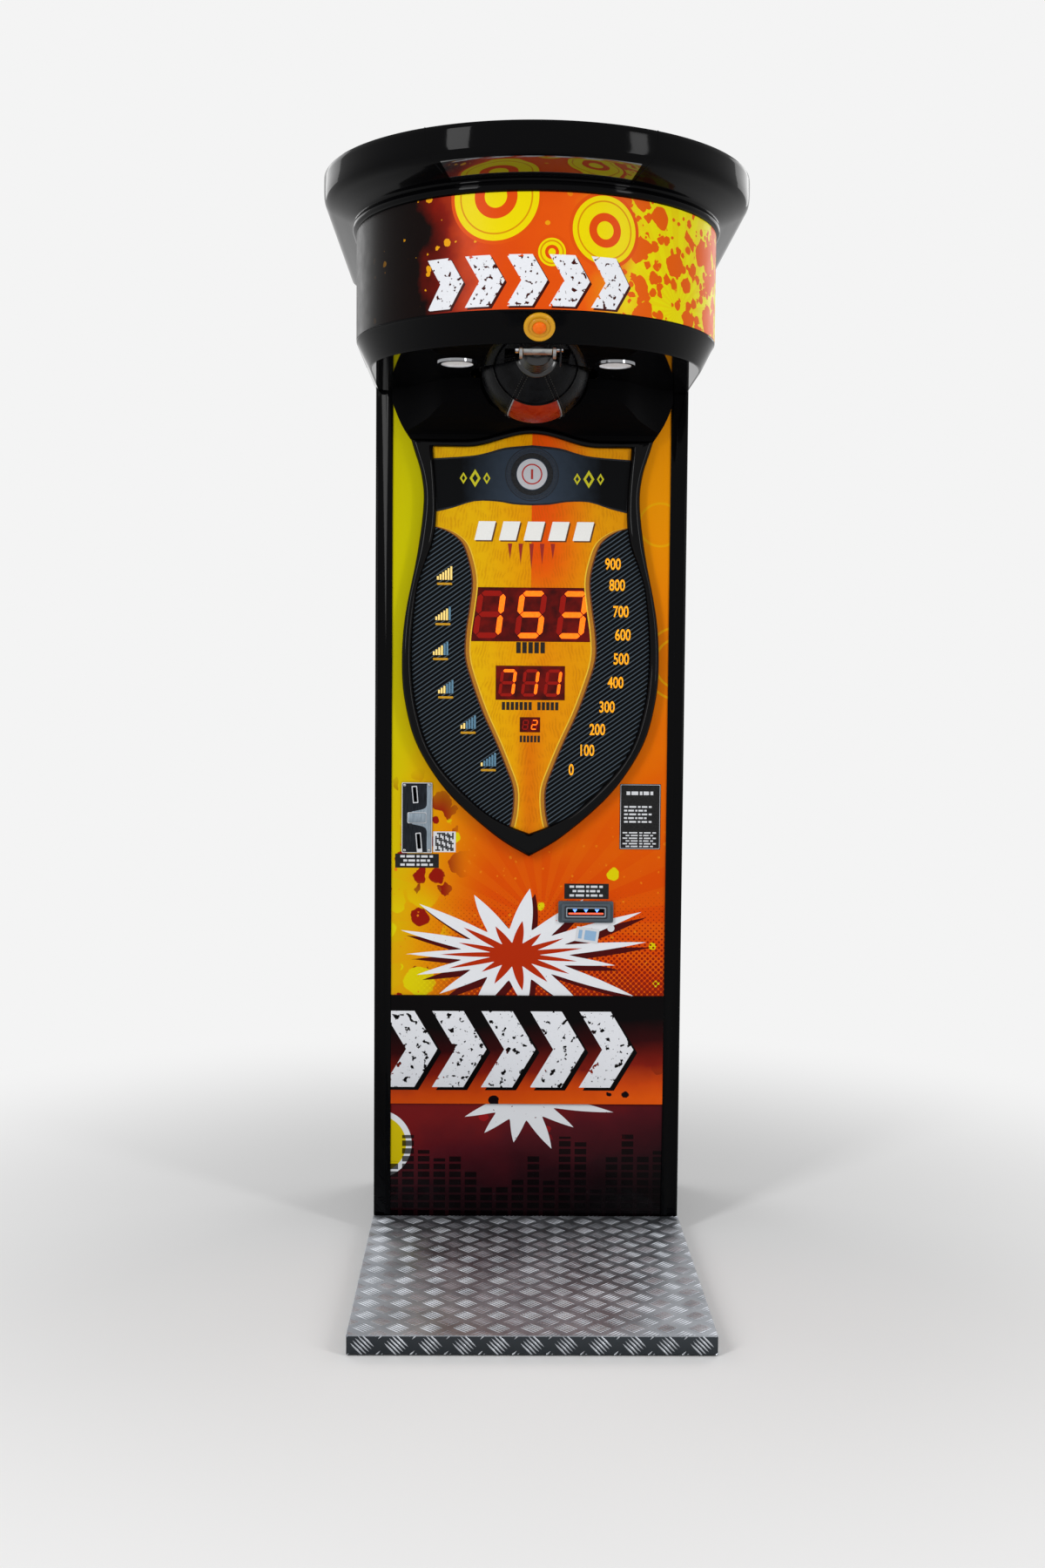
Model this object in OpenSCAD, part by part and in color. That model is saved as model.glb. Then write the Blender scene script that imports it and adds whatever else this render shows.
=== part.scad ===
// Free-standing punching-ball arcade machine. Millimetres, X to the player's right,
// Y from the player towards the machine, Z up, origin under the middle of the whole machine.

/* [Cabinet] */
// Width of the cabinet over its front posts
cab_w = 700; // [660:10:740]
// Depth of the cabinet from the front panel's face to the back
cab_d = 400; // [360:10:440]
// Height of the head's underside above the floor
head_z = 1912; // [1880:1:1960]
// Thickness of the side and back boards
board_t = 15; // [12:1:18]
// Thickness of the front panels
panel_t = 12; // [9:1:15]
// Width of each front post
post_w = 35; // [30:1:45]
// Depth of each front post
post_d = 60; // [50:1:80]
// Wall of the hollow front posts
post_wall = 2.5; // [2:0.5:4]
// Top of the lower front panel
lower_top_z = 300; // [260:5:340]
// Height of the dark front strip
strip_h = 250; // [200:5:280]
// How far the dark strip stands proud of the panels
strip_proud = 6; // [3:1:10]
// Height of the inner shelf's top
shelf_z = 618; // [580:1:660]

/* [Base] */
// Length of the tread plate in front of the cabinet
plate_l = 720; // [650:10:800]
// Sheet thickness of the tread plate
plate_t = 2; // [1.5:0.5:3]
// Height of the tread plate's folded lips
lip_h = 37; // [30:1:38]
// Outside size of the square base tubes
tube = 30; // [25:1:40]
// Wall of the base tubes
tube_wall = 2; // [1.5:0.5:3]
// Height of the rubber feet
foot_h = 8; // [6:1:12]
// Radius of the rubber feet
foot_r = 14; // [10:1:15]
// Radius of the transport wheels
wheel_r = 29; // [24:1:34]
// Width of the transport wheels
wheel_w = 20; // [16:1:26]
// Distance of each transport wheel's middle in from the cabinet's side
wheel_in = 80; // [60:5:130]
// Radius of the transport wheels' axles
wheel_axle_r = 5; // [4:0.5:6]

/* [Head] */
// How far the lit band stands out beyond each side of the cabinet
head_over = 22; // [15:1:40]
// Reach of the lit band's round front beyond its straight sides
band_b = 350; // [320:1:370]
// How far in front of the panel the head's straight sides end
head_side = 250; // [220:5:280]
// Height of the belt under the band
belt_h = 54; // [45:1:65]
// How far the belt draws in at each side
belt_in = 27; // [18:1:34]
// How far the belt draws in at the front
belt_in_front = 50; // [35:1:60]
// Height of the lit band
band_h = 217; // [190:1:240]
// Wall of the belt and the band
shell_t = 4; // [3:0.5:6]
// How far the crown's rim stands out beyond the band
crown_out = 67; // [55:1:80]
// Height of the crown
crown_h = 110; // [100:1:125]
// Distance of the downlights from the middle
light_x = 161; // [150:1:175]
// Distance of the downlights in front of the panel
light_y = 340; // [320:5:360]
// Radius of the downlights' chrome bezels
light_r = 40.5; // [36:0.5:44]

/* [Ball] */
// Distance of the ball's pivot in front of the panel
pivot_out = 450; // [430:5:470]
// Height of the ball's pivot above the head's underside
pivot_up = 13; // [8:1:18]
// Largest radius of the ball
ball_r = 118; // [104:1:120]
// Distance from the pivot to the ball's widest place
ball_s = 228; // [215:1:235]
// Radius of the ball's swinging axle
axle_r = 10; // [8:0.5:12]
// Radius of the arm tube that carries the ball
arm_r = 14; // [12:0.5:15]
// Thickness of the ball's leather cover
cover_t = 5; // [3:0.5:7]
// Inside distance from the middle to each hanger cheek
cheek_x = 30; // [28:1:34]
// Thickness of the hanger cheeks
cheek_t = 6; // [5:0.5:8]
// Distance from the pivot to the catch pin
catch_s = 60; // [54:1:64]
// Angle by which the latch hook lifts to let go
hook_lift = 22; // [20:1:25]
// Radius of the speed disc
disc_r = 38; // [34:1:42]

/* [Scoring shield] */
// Width of the shield at its widest
shield_w = 578; // [540:2:600]
// Height of the shield's lower tip
shield_tip_z = 871; // [850:1:900]
// Depth of the shield's frame
shield_d = 30; // [24:1:38]
// Height of the score window's flat top edge
fascia_top_z = 1786; // [1770:1:1800]
// Rise of the score window's crest in the middle
crest_rise = 30; // [20:1:40]
// Height of the frame above the score window
frame_top = 15; // [10:1:20]
// Width of the score display
score_w = 278; // [240:1:290]
// Height of the score display
score_h = 121; // [100:1:130]
// Width of the best-score display
best_w = 156; // [140:1:170]
// Height of the best-score display
best_h = 77; // [65:1:85]
// Width of the credit display
credit_w = 46; // [40:1:60]
// Height of the credit display
credit_h = 34; // [28:1:40]

/* [Payment and controls] */
// Distance of the coin plate's middle to the left
coin_x = 254; // [240:1:262]
// Height of the coin plate's middle
coin_z = 956; // [930:1:980]
// Width of the coin plate
coin_w = 69; // [64:1:80]
// Height of the coin plate
coin_h = 160; // [150:1:180]
// Width of each coin slot
slot_w = 5.5; // [5:0.5:7]
// Length of each coin slot
slot_l = 32; // [28:1:36]
// Lean of each coin slot to the left
slot_lean = 5; // [0:1:8]
// Distance of the note entry's middle to the right
note_x = 131; // [120:1:150]
// Height of the note entry's middle
note_z = 744; // [720:1:780]
// Width of the note entry's bezel
note_w = 125; // [115:1:135]
// Height of the note entry's bezel
note_h = 49; // [44:1:56]
// Width of the note mouth
mouth_w = 84; // [76:1:90]
// Height of the note mouth
mouth_h = 16; // [12:1:20]
// Radius of the start button's bezel
start_r = 30; // [26:1:34]
// Travel of the push buttons
press = 4; // [3:0.5:5]
// Height of the rear door
door_h = 799; // [700:1:850]

/* [Hidden] */
$fn = 48;

black = "#141416";
steel = "#8d9095";
eps = 0.5;      // how far a cut runs past a face
fit = 0.05;     // radial clearance of a running fit
seat = 0.3;     // gap between neighbours that touch in real life
joint_gap = 0.5;    // gap between boards and panels

// main places worked out from the sizes above
half_w = cab_w / 2;
band_a = half_w + head_over;
wheel_x = half_w - wheel_in;
wheel_gap = 2;
total_d = plate_l + cab_d + wheel_gap + 2 * wheel_r;
front_y = -total_d / 2;
panel_y = front_y + plate_l;
back_y = panel_y + cab_d;
rail_z = foot_h + tube;
plate_z = rail_z + plate_t;
rail_back = back_y - wheel_gap;
side_in = half_w - board_t;
panel_half = half_w - post_w;
strip_top_z = lower_top_z + strip_h;
frame_z = head_z + 118;
frame_h = 50;
frame_top_z = frame_z + frame_h;
bar_h = 30;
bar_w = 30;
bar_z = frame_top_z - bar_h;
belt_top_z = head_z + belt_h;
band_top_z = belt_top_z + band_h;
crown_top_z = band_top_z + crown_h;
head_yc = panel_y - head_side;
pivot_y = panel_y - pivot_out;
pivot_z = head_z + pivot_up;
ball_y = pivot_y + ball_s;

// Points of a smooth curve through the given points, with steps points on each stretch
function spline_point(a, b, c, d, t) = 0.5 * (2 * b + (c - a) * t
    + (2 * a - 5 * b + 4 * c - d) * t * t + (3 * b - a - 3 * c + d) * t * t * t);
function spline(p, steps) = concat([for (i = [0 : len(p) - 2], j = [0 : steps - 1])
    spline_point(p[max(i - 1, 0)], p[i], p[i + 1], p[min(i + 2, len(p) - 1)], j / steps)],
    [p[len(p) - 1]]);
// A closed outline moved inwards by d, for one whose points run clockwise
function unit(v) = v / norm(v);
function inset(p, d) = [for (i = [0 : len(p) - 1])
    let (n = len(p), a = p[(i + n - 1) % n], c = p[(i + 1) % n], t = unit(c - a))
    p[i] + d * [t[1], -t[0]]];
// The right half of an outline and its mirror image, as one clockwise outline
function both_sides(right) = concat(right,
    [for (i = [len(right) - 2 : -1 : 1]) [-right[i][0], right[i][1]]]);
// Plan of the head: straight sides and a round front
ARC = 44;
function head_plan(a, b, back) = concat([[a, back]],
    [for (i = [0 : ARC]) let (t = 180 * i / ARC) [a * cos(t), head_yc - b * sin(t)]],
    [[-a, back]]);

module head_loft(levels, back) {
    rings = [for (v = levels) [for (q = head_plan(v[1], v[2], back)) [q[0], q[1], v[0]]]];
    n = len(rings[0]);
    m = len(rings);
    walls = [for (k = [0 : m - 2], i = [0 : n - 1]) let (j = (i + 1) % n)
        each [[k * n + i, k * n + n + j, k * n + n + i], [k * n + i, k * n + j, k * n + n + j]]];
    polyhedron([for (r = rings) each r],
        concat([[for (i = [n - 1 : -1 : 0]) i]], [[for (i = [0 : n - 1]) (m - 1) * n + i]],
            walls), convexity = 6);
}

module mirrored() {
    children();
    mirror([1, 0, 0]) children();
}

module along_x(x0, x1, r, y, z) {
    translate([x0, y, z]) rotate([0, 90, 0]) cylinder(h = x1 - x0, r = r);
}

module along_y(y0, y1, r, x, z) {
    translate([x, y1, z]) rotate([90, 0, 0]) cylinder(h = y1 - y0, r = r);
}

module block(x0, x1, y0, y1, z0, z1) {
    translate([x0, y0, z0]) cube([x1 - x0, y1 - y0, z1 - z0]);
}

// An outline drawn in X and Z, with its thickness from y0 to y1
module front_slab(y0, y1) {
    translate([0, y1, 0]) rotate([90, 0, 0]) linear_extrude(y1 - y0) children();
}

module round_rect(w, d, r) {
    square([w, d - 2 * r], center = true);
    square([w - 2 * r, d], center = true);
    for (sx = [-1, 1], sy = [-1, 1])
        translate([sx * (w / 2 - r), sy * (d / 2 - r)]) circle(r = r);
}

// Base
rail_out = half_w - plate_t - joint_gap;
rail_front = front_y + plate_t + joint_gap;
foot_inset = 30;

module base_rails() {
    color(black) mirrored() difference() {
        block(rail_out - tube, rail_out, rail_front, rail_back, foot_h, rail_z);
        block(rail_out - tube + tube_wall, rail_out - tube_wall, rail_front - eps,
            rail_back + eps, foot_h + tube_wall, rail_z - tube_wall);
    }
}

crossbar_y = [rail_front, (rail_front + panel_y) / 2 - tube, panel_y - tube / 2,
    rail_back - tube];
crossbar_in = rail_out - tube;

module base_crossbars() {
    color(black) for (y = crossbar_y) difference() {
        block(-crossbar_in, crossbar_in, y, y + tube, foot_h, rail_z);
        block(-crossbar_in - eps, crossbar_in + eps, y + tube_wall, y + tube - tube_wall,
            foot_h + tube_wall, rail_z - tube_wall);
    }
}

module tread_plate() {
    plate_back = panel_y - strip_proud - joint_gap;
    color("#b9bcc0") difference() {
        block(-half_w, half_w, front_y, plate_back, plate_z - lip_h, plate_z);
        block(-half_w + plate_t, half_w - plate_t, front_y + plate_t, plate_back + eps,
            -eps, rail_z);
    }
}

module rubber_feet() {
    foot_y = [rail_front + foot_inset, (rail_front + panel_y) / 2, panel_y + foot_inset,
        rail_back - foot_inset];
    color("#1d1d1f") mirrored() for (y = foot_y)
        translate([rail_out - tube / 2, y, 0]) cylinder(h = foot_h, r = foot_r);
}

// Transport wheels
wheel_y = back_y + wheel_gap + wheel_r;
wheel_z = foot_h + wheel_r + 4;
fork_t = 3;
fork_gap = 1.5;
fork_x = wheel_w / 2 + fork_gap;
fork_r = 12;
fork_h = 24;

module wheel_brackets() {
    color(steel) mirrored() translate([wheel_x, 0, 0]) {
        block(-fork_x - fork_t, fork_x + fork_t, rail_back, rail_back + fork_t,
            foot_h + joint_gap, wheel_z + fork_h / 2);
        for (sx = [-1, 1]) translate([sx * (fork_x + fork_t / 2), 0, 0]) {
            block(-fork_t / 2, fork_t / 2, rail_back, wheel_y, wheel_z - fork_h / 2,
                wheel_z + fork_h / 2);
            along_x(-fork_t / 2, fork_t / 2, fork_r, wheel_y, wheel_z);
        }
        along_x(-fork_x - fork_t, fork_x + fork_t, wheel_axle_r, wheel_y, wheel_z);
    }
}

module wheel(side) {
    tread_round = 4;
    color("#2a2a2d") translate([side * wheel_x, wheel_y, wheel_z]) rotate([0, 90, 0])
        rotate_extrude() difference() {
            translate([wheel_r / 2, 0]) round_rect(wheel_r, wheel_w, tread_round);
            translate([0, -wheel_w]) square([wheel_axle_r + fit, 2 * wheel_w]);
        }
}

module wheel_left() {
    wheel(-1);
}

module wheel_right() {
    wheel(1);
}

// Cabinet
post_fin = 14;      // lip of each post over the panel's edge
post_fin_t = 3;
post_round = 6;
post_top_z = belt_top_z - joint_gap;

module post_outline() {
    mid = [half_w - post_w / 2, panel_y + post_d / 2];
    difference() {
        union() {
            translate(mid) round_rect(post_w, post_d, post_round);
            translate([panel_half - post_fin / 4, panel_y - post_fin_t])
                square([post_fin, post_fin_t + post_round]);
        }
        translate(mid) round_rect(post_w - 2 * post_wall, post_d - 2 * post_wall,
            post_round - post_wall);
        translate([panel_half - post_fin, panel_y - joint_gap / 2])
            square([post_fin + joint_gap / 2, panel_t + joint_gap]);
    }
}

module front_posts() {
    color(black) mirrored() translate([0, 0, rail_z]) linear_extrude(post_top_z - rail_z)
        post_outline();
}

module side_panels() {
    keeper_w = 12;
    color(black) {
        mirrored() block(side_in, half_w, panel_y + post_d, back_y, rail_z, frame_z);
        block(side_in - keeper_w, side_in - seat, keeper_y - keeper_t, keeper_y,
            lock_z - keeper_h / 2, lock_z + keeper_h / 2);
    }
}

module coin_cutout(grow) {
    cut_w = coin_w - 12;
    cut_h = coin_h - 14;
    block(-coin_x - cut_w / 2 - grow, -coin_x + cut_w / 2 + grow, panel_y - eps,
        panel_y + panel_t + eps, coin_z - cut_h / 2 - grow, coin_z + cut_h / 2 + grow);
}

body_gap = 1;       // gap round the payment units in their cut-outs
note_body_w = 96;
note_body_h = 40;
cable_r = 15;

module front_panel_upper() {
    color("#e8781e") difference() {
        block(-panel_half + joint_gap, panel_half - joint_gap, panel_y, panel_y + panel_t,
            strip_top_z + joint_gap, head_z);
        coin_cutout(0);
        block(note_x - note_body_w / 2 - body_gap, note_x + note_body_w / 2 + body_gap,
            panel_y - eps, panel_y + panel_t + eps, note_z - note_body_h / 2 - body_gap,
            note_z + note_body_h / 2 + body_gap);
        along_y(panel_y - eps, panel_y + panel_t + eps, cable_r, 0, best_z);
    }
}

module front_panel_strip() {
    color("#2b0d0c") {
        block(-panel_half + joint_gap, panel_half - joint_gap, panel_y, panel_y + panel_t,
            lower_top_z + joint_gap, strip_top_z);
        strip_half = panel_half - post_fin / 4 - joint_gap;
        block(-strip_half, strip_half, panel_y - strip_proud, panel_y + joint_gap,
            lower_top_z + joint_gap, strip_top_z);
    }
}

module front_panel_lower() {
    color("#4c1013") block(-panel_half + joint_gap, panel_half - joint_gap, panel_y,
        panel_y + panel_t, rail_z, lower_top_z);
}

shelf_t = 18;
inside_y = panel_y + panel_t + joint_gap;

module cabinet_shelves() {
    color("#6b5a45") {
        difference() {
            block(-side_in, side_in, inside_y, rail_back, rail_z, rail_z + board_t);
            mirrored() block(panel_half - joint_gap, half_w, panel_y, panel_y + post_d + joint_gap,
                0, shelf_z);
        }
        difference() {
            block(-side_in, side_in, inside_y, back_y - board_t - shelf_setback,
                shelf_z - shelf_t, shelf_z);
            mirrored() block(panel_half - joint_gap, half_w, panel_y, panel_y + post_d + joint_gap,
                0, shelf_z + eps);
        }
    }
}

// Back of the cabinet: fixed boards above and below, and a door between them
back_half = side_in - joint_gap;
door_gap = 3;
door_z = rail_z + board_t + 250;
door_top_z = door_z + door_h;
door_half = side_in - 5;
back_low_z = door_z - door_gap;
back_up_z = door_top_z + door_gap;
shelf_setback = 20;
screw_r = 2.5;
screw_head_r = 5;
screw_head_h = 2.5;
screw_edge = 20;
low_screws = [for (sx = [-1, 1], z = [rail_z + board_t + screw_edge, back_low_z - screw_edge])
    [sx * (back_half - screw_edge), z]];
up_screws = [for (sx = [-1, 1], k = [0 : 3]) [sx * (back_half - screw_edge),
    back_up_z + screw_edge + k * (head_z - back_up_z - 2 * screw_edge) / 3]];
louvre_n = 8;
louvre_w = 240;
louvre_h = 6;
louvre_pitch = 18;
louvre_z = head_z - 220;
speaker_z = louvre_z - 140;
speaker_r = 50;
inlet_x = -200;
inlet_z = rail_z + board_t + 120;
inlet_w = 56;
inlet_h = 34;

module back_panels() {
    color(black) difference() {
        union() {
            block(-back_half, back_half, back_y - board_t, back_y, rail_z + board_t, back_low_z);
            block(-back_half, back_half, back_y - board_t, back_y, back_up_z, frame_z);
        }
        for (p = concat(low_screws, up_screws))
            along_y(back_y - board_t - eps, back_y + eps, screw_r + fit, p[0], p[1]);
        for (k = [0 : louvre_n - 1]) block(-louvre_w / 2, louvre_w / 2, back_y - board_t - eps,
            back_y + eps, louvre_z + k * louvre_pitch, louvre_z + k * louvre_pitch + louvre_h);
        for (i = [-2 : 2], j = [-2 : 2]) along_y(back_y - board_t - eps, back_y + eps, 4,
            i * 16, speaker_z + j * 16);
        block(inlet_x - inlet_w / 2 + 4, inlet_x + inlet_w / 2 - 4, back_y - board_t - eps,
            back_y + eps, inlet_z - inlet_h / 2 + 4, inlet_z + inlet_h / 2 - 4);
    }
}

module back_screws() {
    color(steel) for (p = concat(low_screws, up_screws)) {
        along_y(back_y, back_y + screw_head_h, screw_head_r, p[0], p[1]);
        along_y(back_y - board_t, back_y + eps, screw_r, p[0], p[1]);
    }
}

hinge_r = 6;
pin_r = 3;
hinge_x = -side_in + 2;
hinge_y = back_y + hinge_r;
knuckle_h = 30;
leaf_t = 2;
leaf_w = 26;
hinge_zs = [for (k = [0 : 2]) door_z + 60 + k * (door_h - 120) / 2];
lock_x = door_half - 30;
lock_z = door_z + door_h / 2;
lock_r = 9;
lock_head_r = 12;
lock_head_h = 4;
cam_l = 34;
cam_w = 16;
cam_t = 3;
keeper_t = 5;
keeper_h = 60;
keeper_y = back_y - board_t - 4;
cam_y = keeper_y - keeper_t - 1;

module rear_door() {
    color(black) difference() {
        union() {
            block(-door_half, door_half, back_y - board_t, back_y, door_z, door_top_z);
            for (z = hinge_zs) {
                block(-door_half, -door_half + leaf_w, back_y - joint_gap, back_y + leaf_t,
                    z - knuckle_h / 2, z + knuckle_h / 2);
                translate([hinge_x, hinge_y, z - knuckle_h / 2])
                    cylinder(h = knuckle_h, r = hinge_r);
                block(hinge_x, -door_half + leaf_w / 2, back_y, back_y + leaf_t,
                    z - knuckle_h / 2, z + knuckle_h / 2);
            }
        }
        for (z = hinge_zs) translate([hinge_x, hinge_y, z - knuckle_h])
            cylinder(h = 2 * knuckle_h, r = pin_r + fit);
        along_y(back_y - board_t - eps, back_y + eps, lock_r + fit, lock_x, lock_z);
    }
}

module door_hinges() {
    rise = knuckle_h / 2 + seat;
    color(steel) for (z = hinge_zs) {
        translate([hinge_x, hinge_y, z - rise - knuckle_h / 2])
            cylinder(h = 2 * rise + knuckle_h, r = pin_r);
        for (z0 = [z - rise - knuckle_h / 2, z + rise]) {
            translate([hinge_x, hinge_y, z0]) cylinder(h = knuckle_h / 2, r = hinge_r);
            block(-half_w + 1, hinge_x, back_y, back_y + leaf_t, z0, z0 + knuckle_h / 2);
        }
        block(-half_w + 1, hinge_x - hinge_r - 1, back_y, back_y + leaf_t,
            z - rise - knuckle_h / 2, z + rise + knuckle_h / 2);
    }
}

module door_lock() {
    color("silver") difference() {
        union() {
            along_y(cam_y - cam_t, back_y + eps, lock_r, lock_x, lock_z);
            along_y(back_y + seat, back_y + lock_head_h, lock_head_r, lock_x, lock_z);
            block(lock_x - cam_w / 2, lock_x + cam_w / 2, cam_y - cam_t, cam_y, lock_z,
                lock_z + cam_l);
        }
        block(lock_x - 1, lock_x + 1, back_y + 1, back_y + lock_head_h + eps, lock_z - 4,
            lock_z + 4);
    }
}

// Head
arm_x = 240;
bar1_y = pivot_y - 44;
bar2_y = pivot_y + 40;
bar3_y = ball_y - bar_w / 2;
rear1_y = panel_y + post_d + 2;
rear2_y = back_y - board_t - bar_w - 5;
bar_t = 3;
shoulder_z = head_z + 14;

module bar(x, y, z, h) {
    difference() {
        block(-x, x, y, y + bar_w, z, z + h);
        block(-x - eps, x + eps, y + bar_t, y + bar_w - bar_t, z + bar_t, z + h + eps);
    }
}

module head_frame() {
    arm_in = arm_x - bar_w / 2;
    color(steel) {
        mirrored() difference() {
            block(arm_in, arm_in + bar_w, bar1_y, rear2_y + bar_w, frame_z, frame_top_z);
            block(arm_in + bar_t, arm_in + bar_w - bar_t, bar1_y - eps, rear2_y + bar_w + eps,
                frame_z + bar_t, frame_top_z - bar_t);
        }
        for (y = [bar1_y, bar2_y, bar3_y]) bar(arm_in, y, bar_z, bar_h);
        for (y = [rear1_y, rear2_y]) {
            bar(arm_in, y, frame_z, frame_h);
            mirrored() block(arm_in + bar_w, half_w, y, y + bar_w, frame_z, frame_z + bar_t);
        }
    }
}

belt_a = band_a - belt_in;
belt_b = band_b - belt_in_front;
belt_back = panel_y - joint_gap;
start_y = head_yc - (band_b + belt_b) / 2;
start_z = head_z + belt_h / 2;
start_tilt = 90 + atan(belt_in_front / belt_h);
start_barrel_r = start_r - 6;

// Children stand on the belt at the start button, with Z straight out of its face
module at_start() {
    translate([0, start_y, start_z]) rotate([start_tilt, 0, 0]) children();
}

module head_belt() {
    color(black) difference() {
        head_loft([[head_z, belt_a, belt_b], [belt_top_z, band_a, band_b]], belt_back);
        head_loft([[head_z - eps, belt_a - shell_t, belt_b - shell_t],
            [head_z, belt_a - shell_t, belt_b - shell_t],
            [belt_top_z, band_a - shell_t, band_b - shell_t],
            [belt_top_z + eps, band_a - shell_t, band_b - shell_t]], belt_back + eps);
        at_start() cylinder(h = 8 * shell_t, r = start_barrel_r + seat, center = true);
    }
}

module head_band() {
    color("#ef7d1a") translate([0, 0, belt_top_z]) linear_extrude(band_h) difference() {
        polygon(head_plan(band_a, band_b, back_y));
        polygon(head_plan(band_a - shell_t, band_b - shell_t, back_y + eps));
    }
}

// Height and reach of the crown's sections, as shares of its height and overhang:
// a bead over the band, a hollow sweep outwards, and an upright rim
CROWN = [[0, 0.03], [0.05, 0.11], [0.13, 0.11], [0.18, 0.05], [0.27, 0.08], [0.37, 0.18],
    [0.46, 0.36], [0.53, 0.6], [0.57, 0.82], [0.6, 0.97], [0.64, 1], [0.95, 1], [0.99, 0.97],
    [1, 0.92]];
CROWN_INSIDE = [[-0.01, -0.06], [0.33, -0.06], [0.47, 0.1], [0.58, 0.4], [0.66, 0.7],
    [0.71, 0.89], [1.01, 0.89]];
front_share = 1.08;
function crown_level(v) = [band_top_z + crown_h * v[0], band_a + crown_out * v[1],
    band_b + front_share * crown_out * v[1]];

module head_crown() {
    color(black) difference() {
        head_loft([for (v = CROWN) crown_level(v)], back_y);
        head_loft([for (v = CROWN_INSIDE) crown_level(v)], back_y + eps);
    }
}

cover_sheet = 2;
cover_drop = 8;
cover_share = 0.88;

module head_cover() {
    top = crown_level([1, cover_share]);
    cover_z = top[0] - cover_drop;
    wide = top[1] - joint_gap;
    color("#1b1b1e") {
        translate([0, 0, cover_z - cover_sheet]) linear_extrude(cover_sheet)
            polygon(head_plan(wide, top[2] - joint_gap, back_y));
        front_slab(back_y, back_y + cover_sheet) polygon(both_sides([[0, cover_z],
            [wide, cover_z], [wide, band_top_z + 0.72 * crown_h],
            [band_a - joint_gap, band_top_z + crown_h / 3], [band_a - joint_gap, belt_top_z],
            [half_w + seat, shoulder_z], [0, shoulder_z]]));
    }
}

module head_shoulders() {
    color(black) mirrored() front_slab(panel_y, back_y) polygon([[half_w + seat, shoulder_z],
        [half_w + seat, belt_top_z], [band_a, belt_top_z]]);
}

// Keyhole in the underside, which the ball swings through
key_slot = 65;
key_gap = 18;
sheet_t = 4;

module keyhole_outline(grow) {
    slot_y = pivot_y - disc_r - 8;
    translate([0, ball_y]) circle(r = ball_r + key_gap + grow);
    translate([-key_slot - grow, slot_y - grow])
        square([2 * (key_slot + grow), ball_y - slot_y]);
}

module head_underside() {
    tongue = panel_half - post_fin;
    back = panel_y - post_fin_t - joint_gap;
    tip = panel_y + panel_t;
    plan = head_plan(belt_a - shell_t - seat, belt_b - shell_t - seat, back);
    color(black) translate([0, 0, head_z]) linear_extrude(sheet_t) difference() {
        polygon(concat([[tongue, tip], [tongue, back]], plan, [[-tongue, back], [-tongue, tip]]));
        keyhole_outline(0);
        mirrored() translate([light_x, panel_y - light_y]) circle(r = light_r - 3.5);
    }
}

module at_lights() {
    mirrored() translate([light_x, panel_y - light_y, head_z]) children();
}

light_sleeve = light_r - 3.5 - seat;
light_in = light_sleeve - 4;

module downlight_bezels() {
    color("silver") at_lights() difference() {
        union() {
            translate([0, 0, -3]) cylinder(h = 3, r = light_r);
            translate([0, 0, -1]) cylinder(h = 19, r = light_sleeve);
        }
        translate([0, 0, -4]) cylinder(h = 30, r = light_in);
    }
}

module downlight_lenses() {
    color("white") at_lights() translate([0, 0, -1])
        cylinder(h = 3, r = light_in - seat / 2);
}

module downlight_housings() {
    color("#d8d8da") at_lights() difference() {
        translate([0, 0, 18]) cylinder(h = 34, r = light_sleeve);
        translate([0, 0, 17]) cylinder(h = 30, r = light_in - 3);
    }
}

lamp_r = 13;
lamp_half = 190;
lamp_foot_x = 140;
lamp_foot_w = 10;
lamp_over = 8;      // room between the lamp and the plunger when that is up
core_over = 4;      // how far the plunger's core stands out of the solenoid at rest

// The lamp lies across the front bar, over the solenoid's raised plunger
module band_lamps() {
    lamp_y = bar1_y - lamp_r - 12;
    lamp_z = bar_z + solenoid_h + core_over + plunger_travel + lamp_over + lamp_r;
    color("#eef2f5") {
        along_x(-lamp_half, lamp_half, lamp_r, lamp_y, lamp_z);
        mirrored() block(lamp_foot_x, lamp_foot_x + lamp_foot_w, lamp_y, bar1_y + bar_w,
            frame_top_z, lamp_z);
    }
}

// Ball and its swinging arm, drawn raised into the head
collar_s = 26;
neck_s = 104;
neck_r = 40;
core_s = ball_s + 20;

// Half outline of the ball as distance from its axis and distance from the pivot
function ball_arc(r) = [for (t = [0 : 9 : 126]) [r * sin(t), ball_s + r * cos(t)]];
function ball_outline(cut, s0) = let (r = ball_r - cut, arc = ball_arc(r), e = arc[len(arc) - 1])
    concat(arc, [for (q = spline([e, [0.63 * r, ball_s - 0.8 * r], [0.47 * r, ball_s - 0.95 * r],
        [neck_r - cut, s0]], 4)) if (q != e) q], [[0, s0]]);

module at_pivot() {
    translate([0, pivot_y, pivot_z]) children();
}

// Turned about the ball's own axis, which points back from the pivot at rest
module turned() {
    at_pivot() rotate([-90, 0, 0]) rotate_extrude() children();
}

module ball_cover() {
    color("#26262a") turned() difference() {
        polygon(ball_outline(0, neck_s));
        polygon(ball_outline(cover_t, neck_s - eps));
    }
}

module ball_filling() {
    color("#8a6d55") turned() difference() {
        polygon(ball_outline(cover_t + seat / 2, neck_s + eps));
        square([arm_r + fit, core_s]);
    }
}

module ball_collar() {
    ends_r = [32, neck_r + 3];
    tube_r = [28, neck_r - 5];
    rim = 7;
    color("#1c1c1e") turned() difference() {
        polygon([[0, collar_s], [ends_r[0], collar_s], [ends_r[0], collar_s + rim],
            [tube_r[0], collar_s + rim + 2], [tube_r[1], neck_s - rim - 2],
            [ends_r[1], neck_s - rim], [ends_r[1], neck_s], [0, neck_s]]);
        square([arm_r, core_s]);
    }
}

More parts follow.
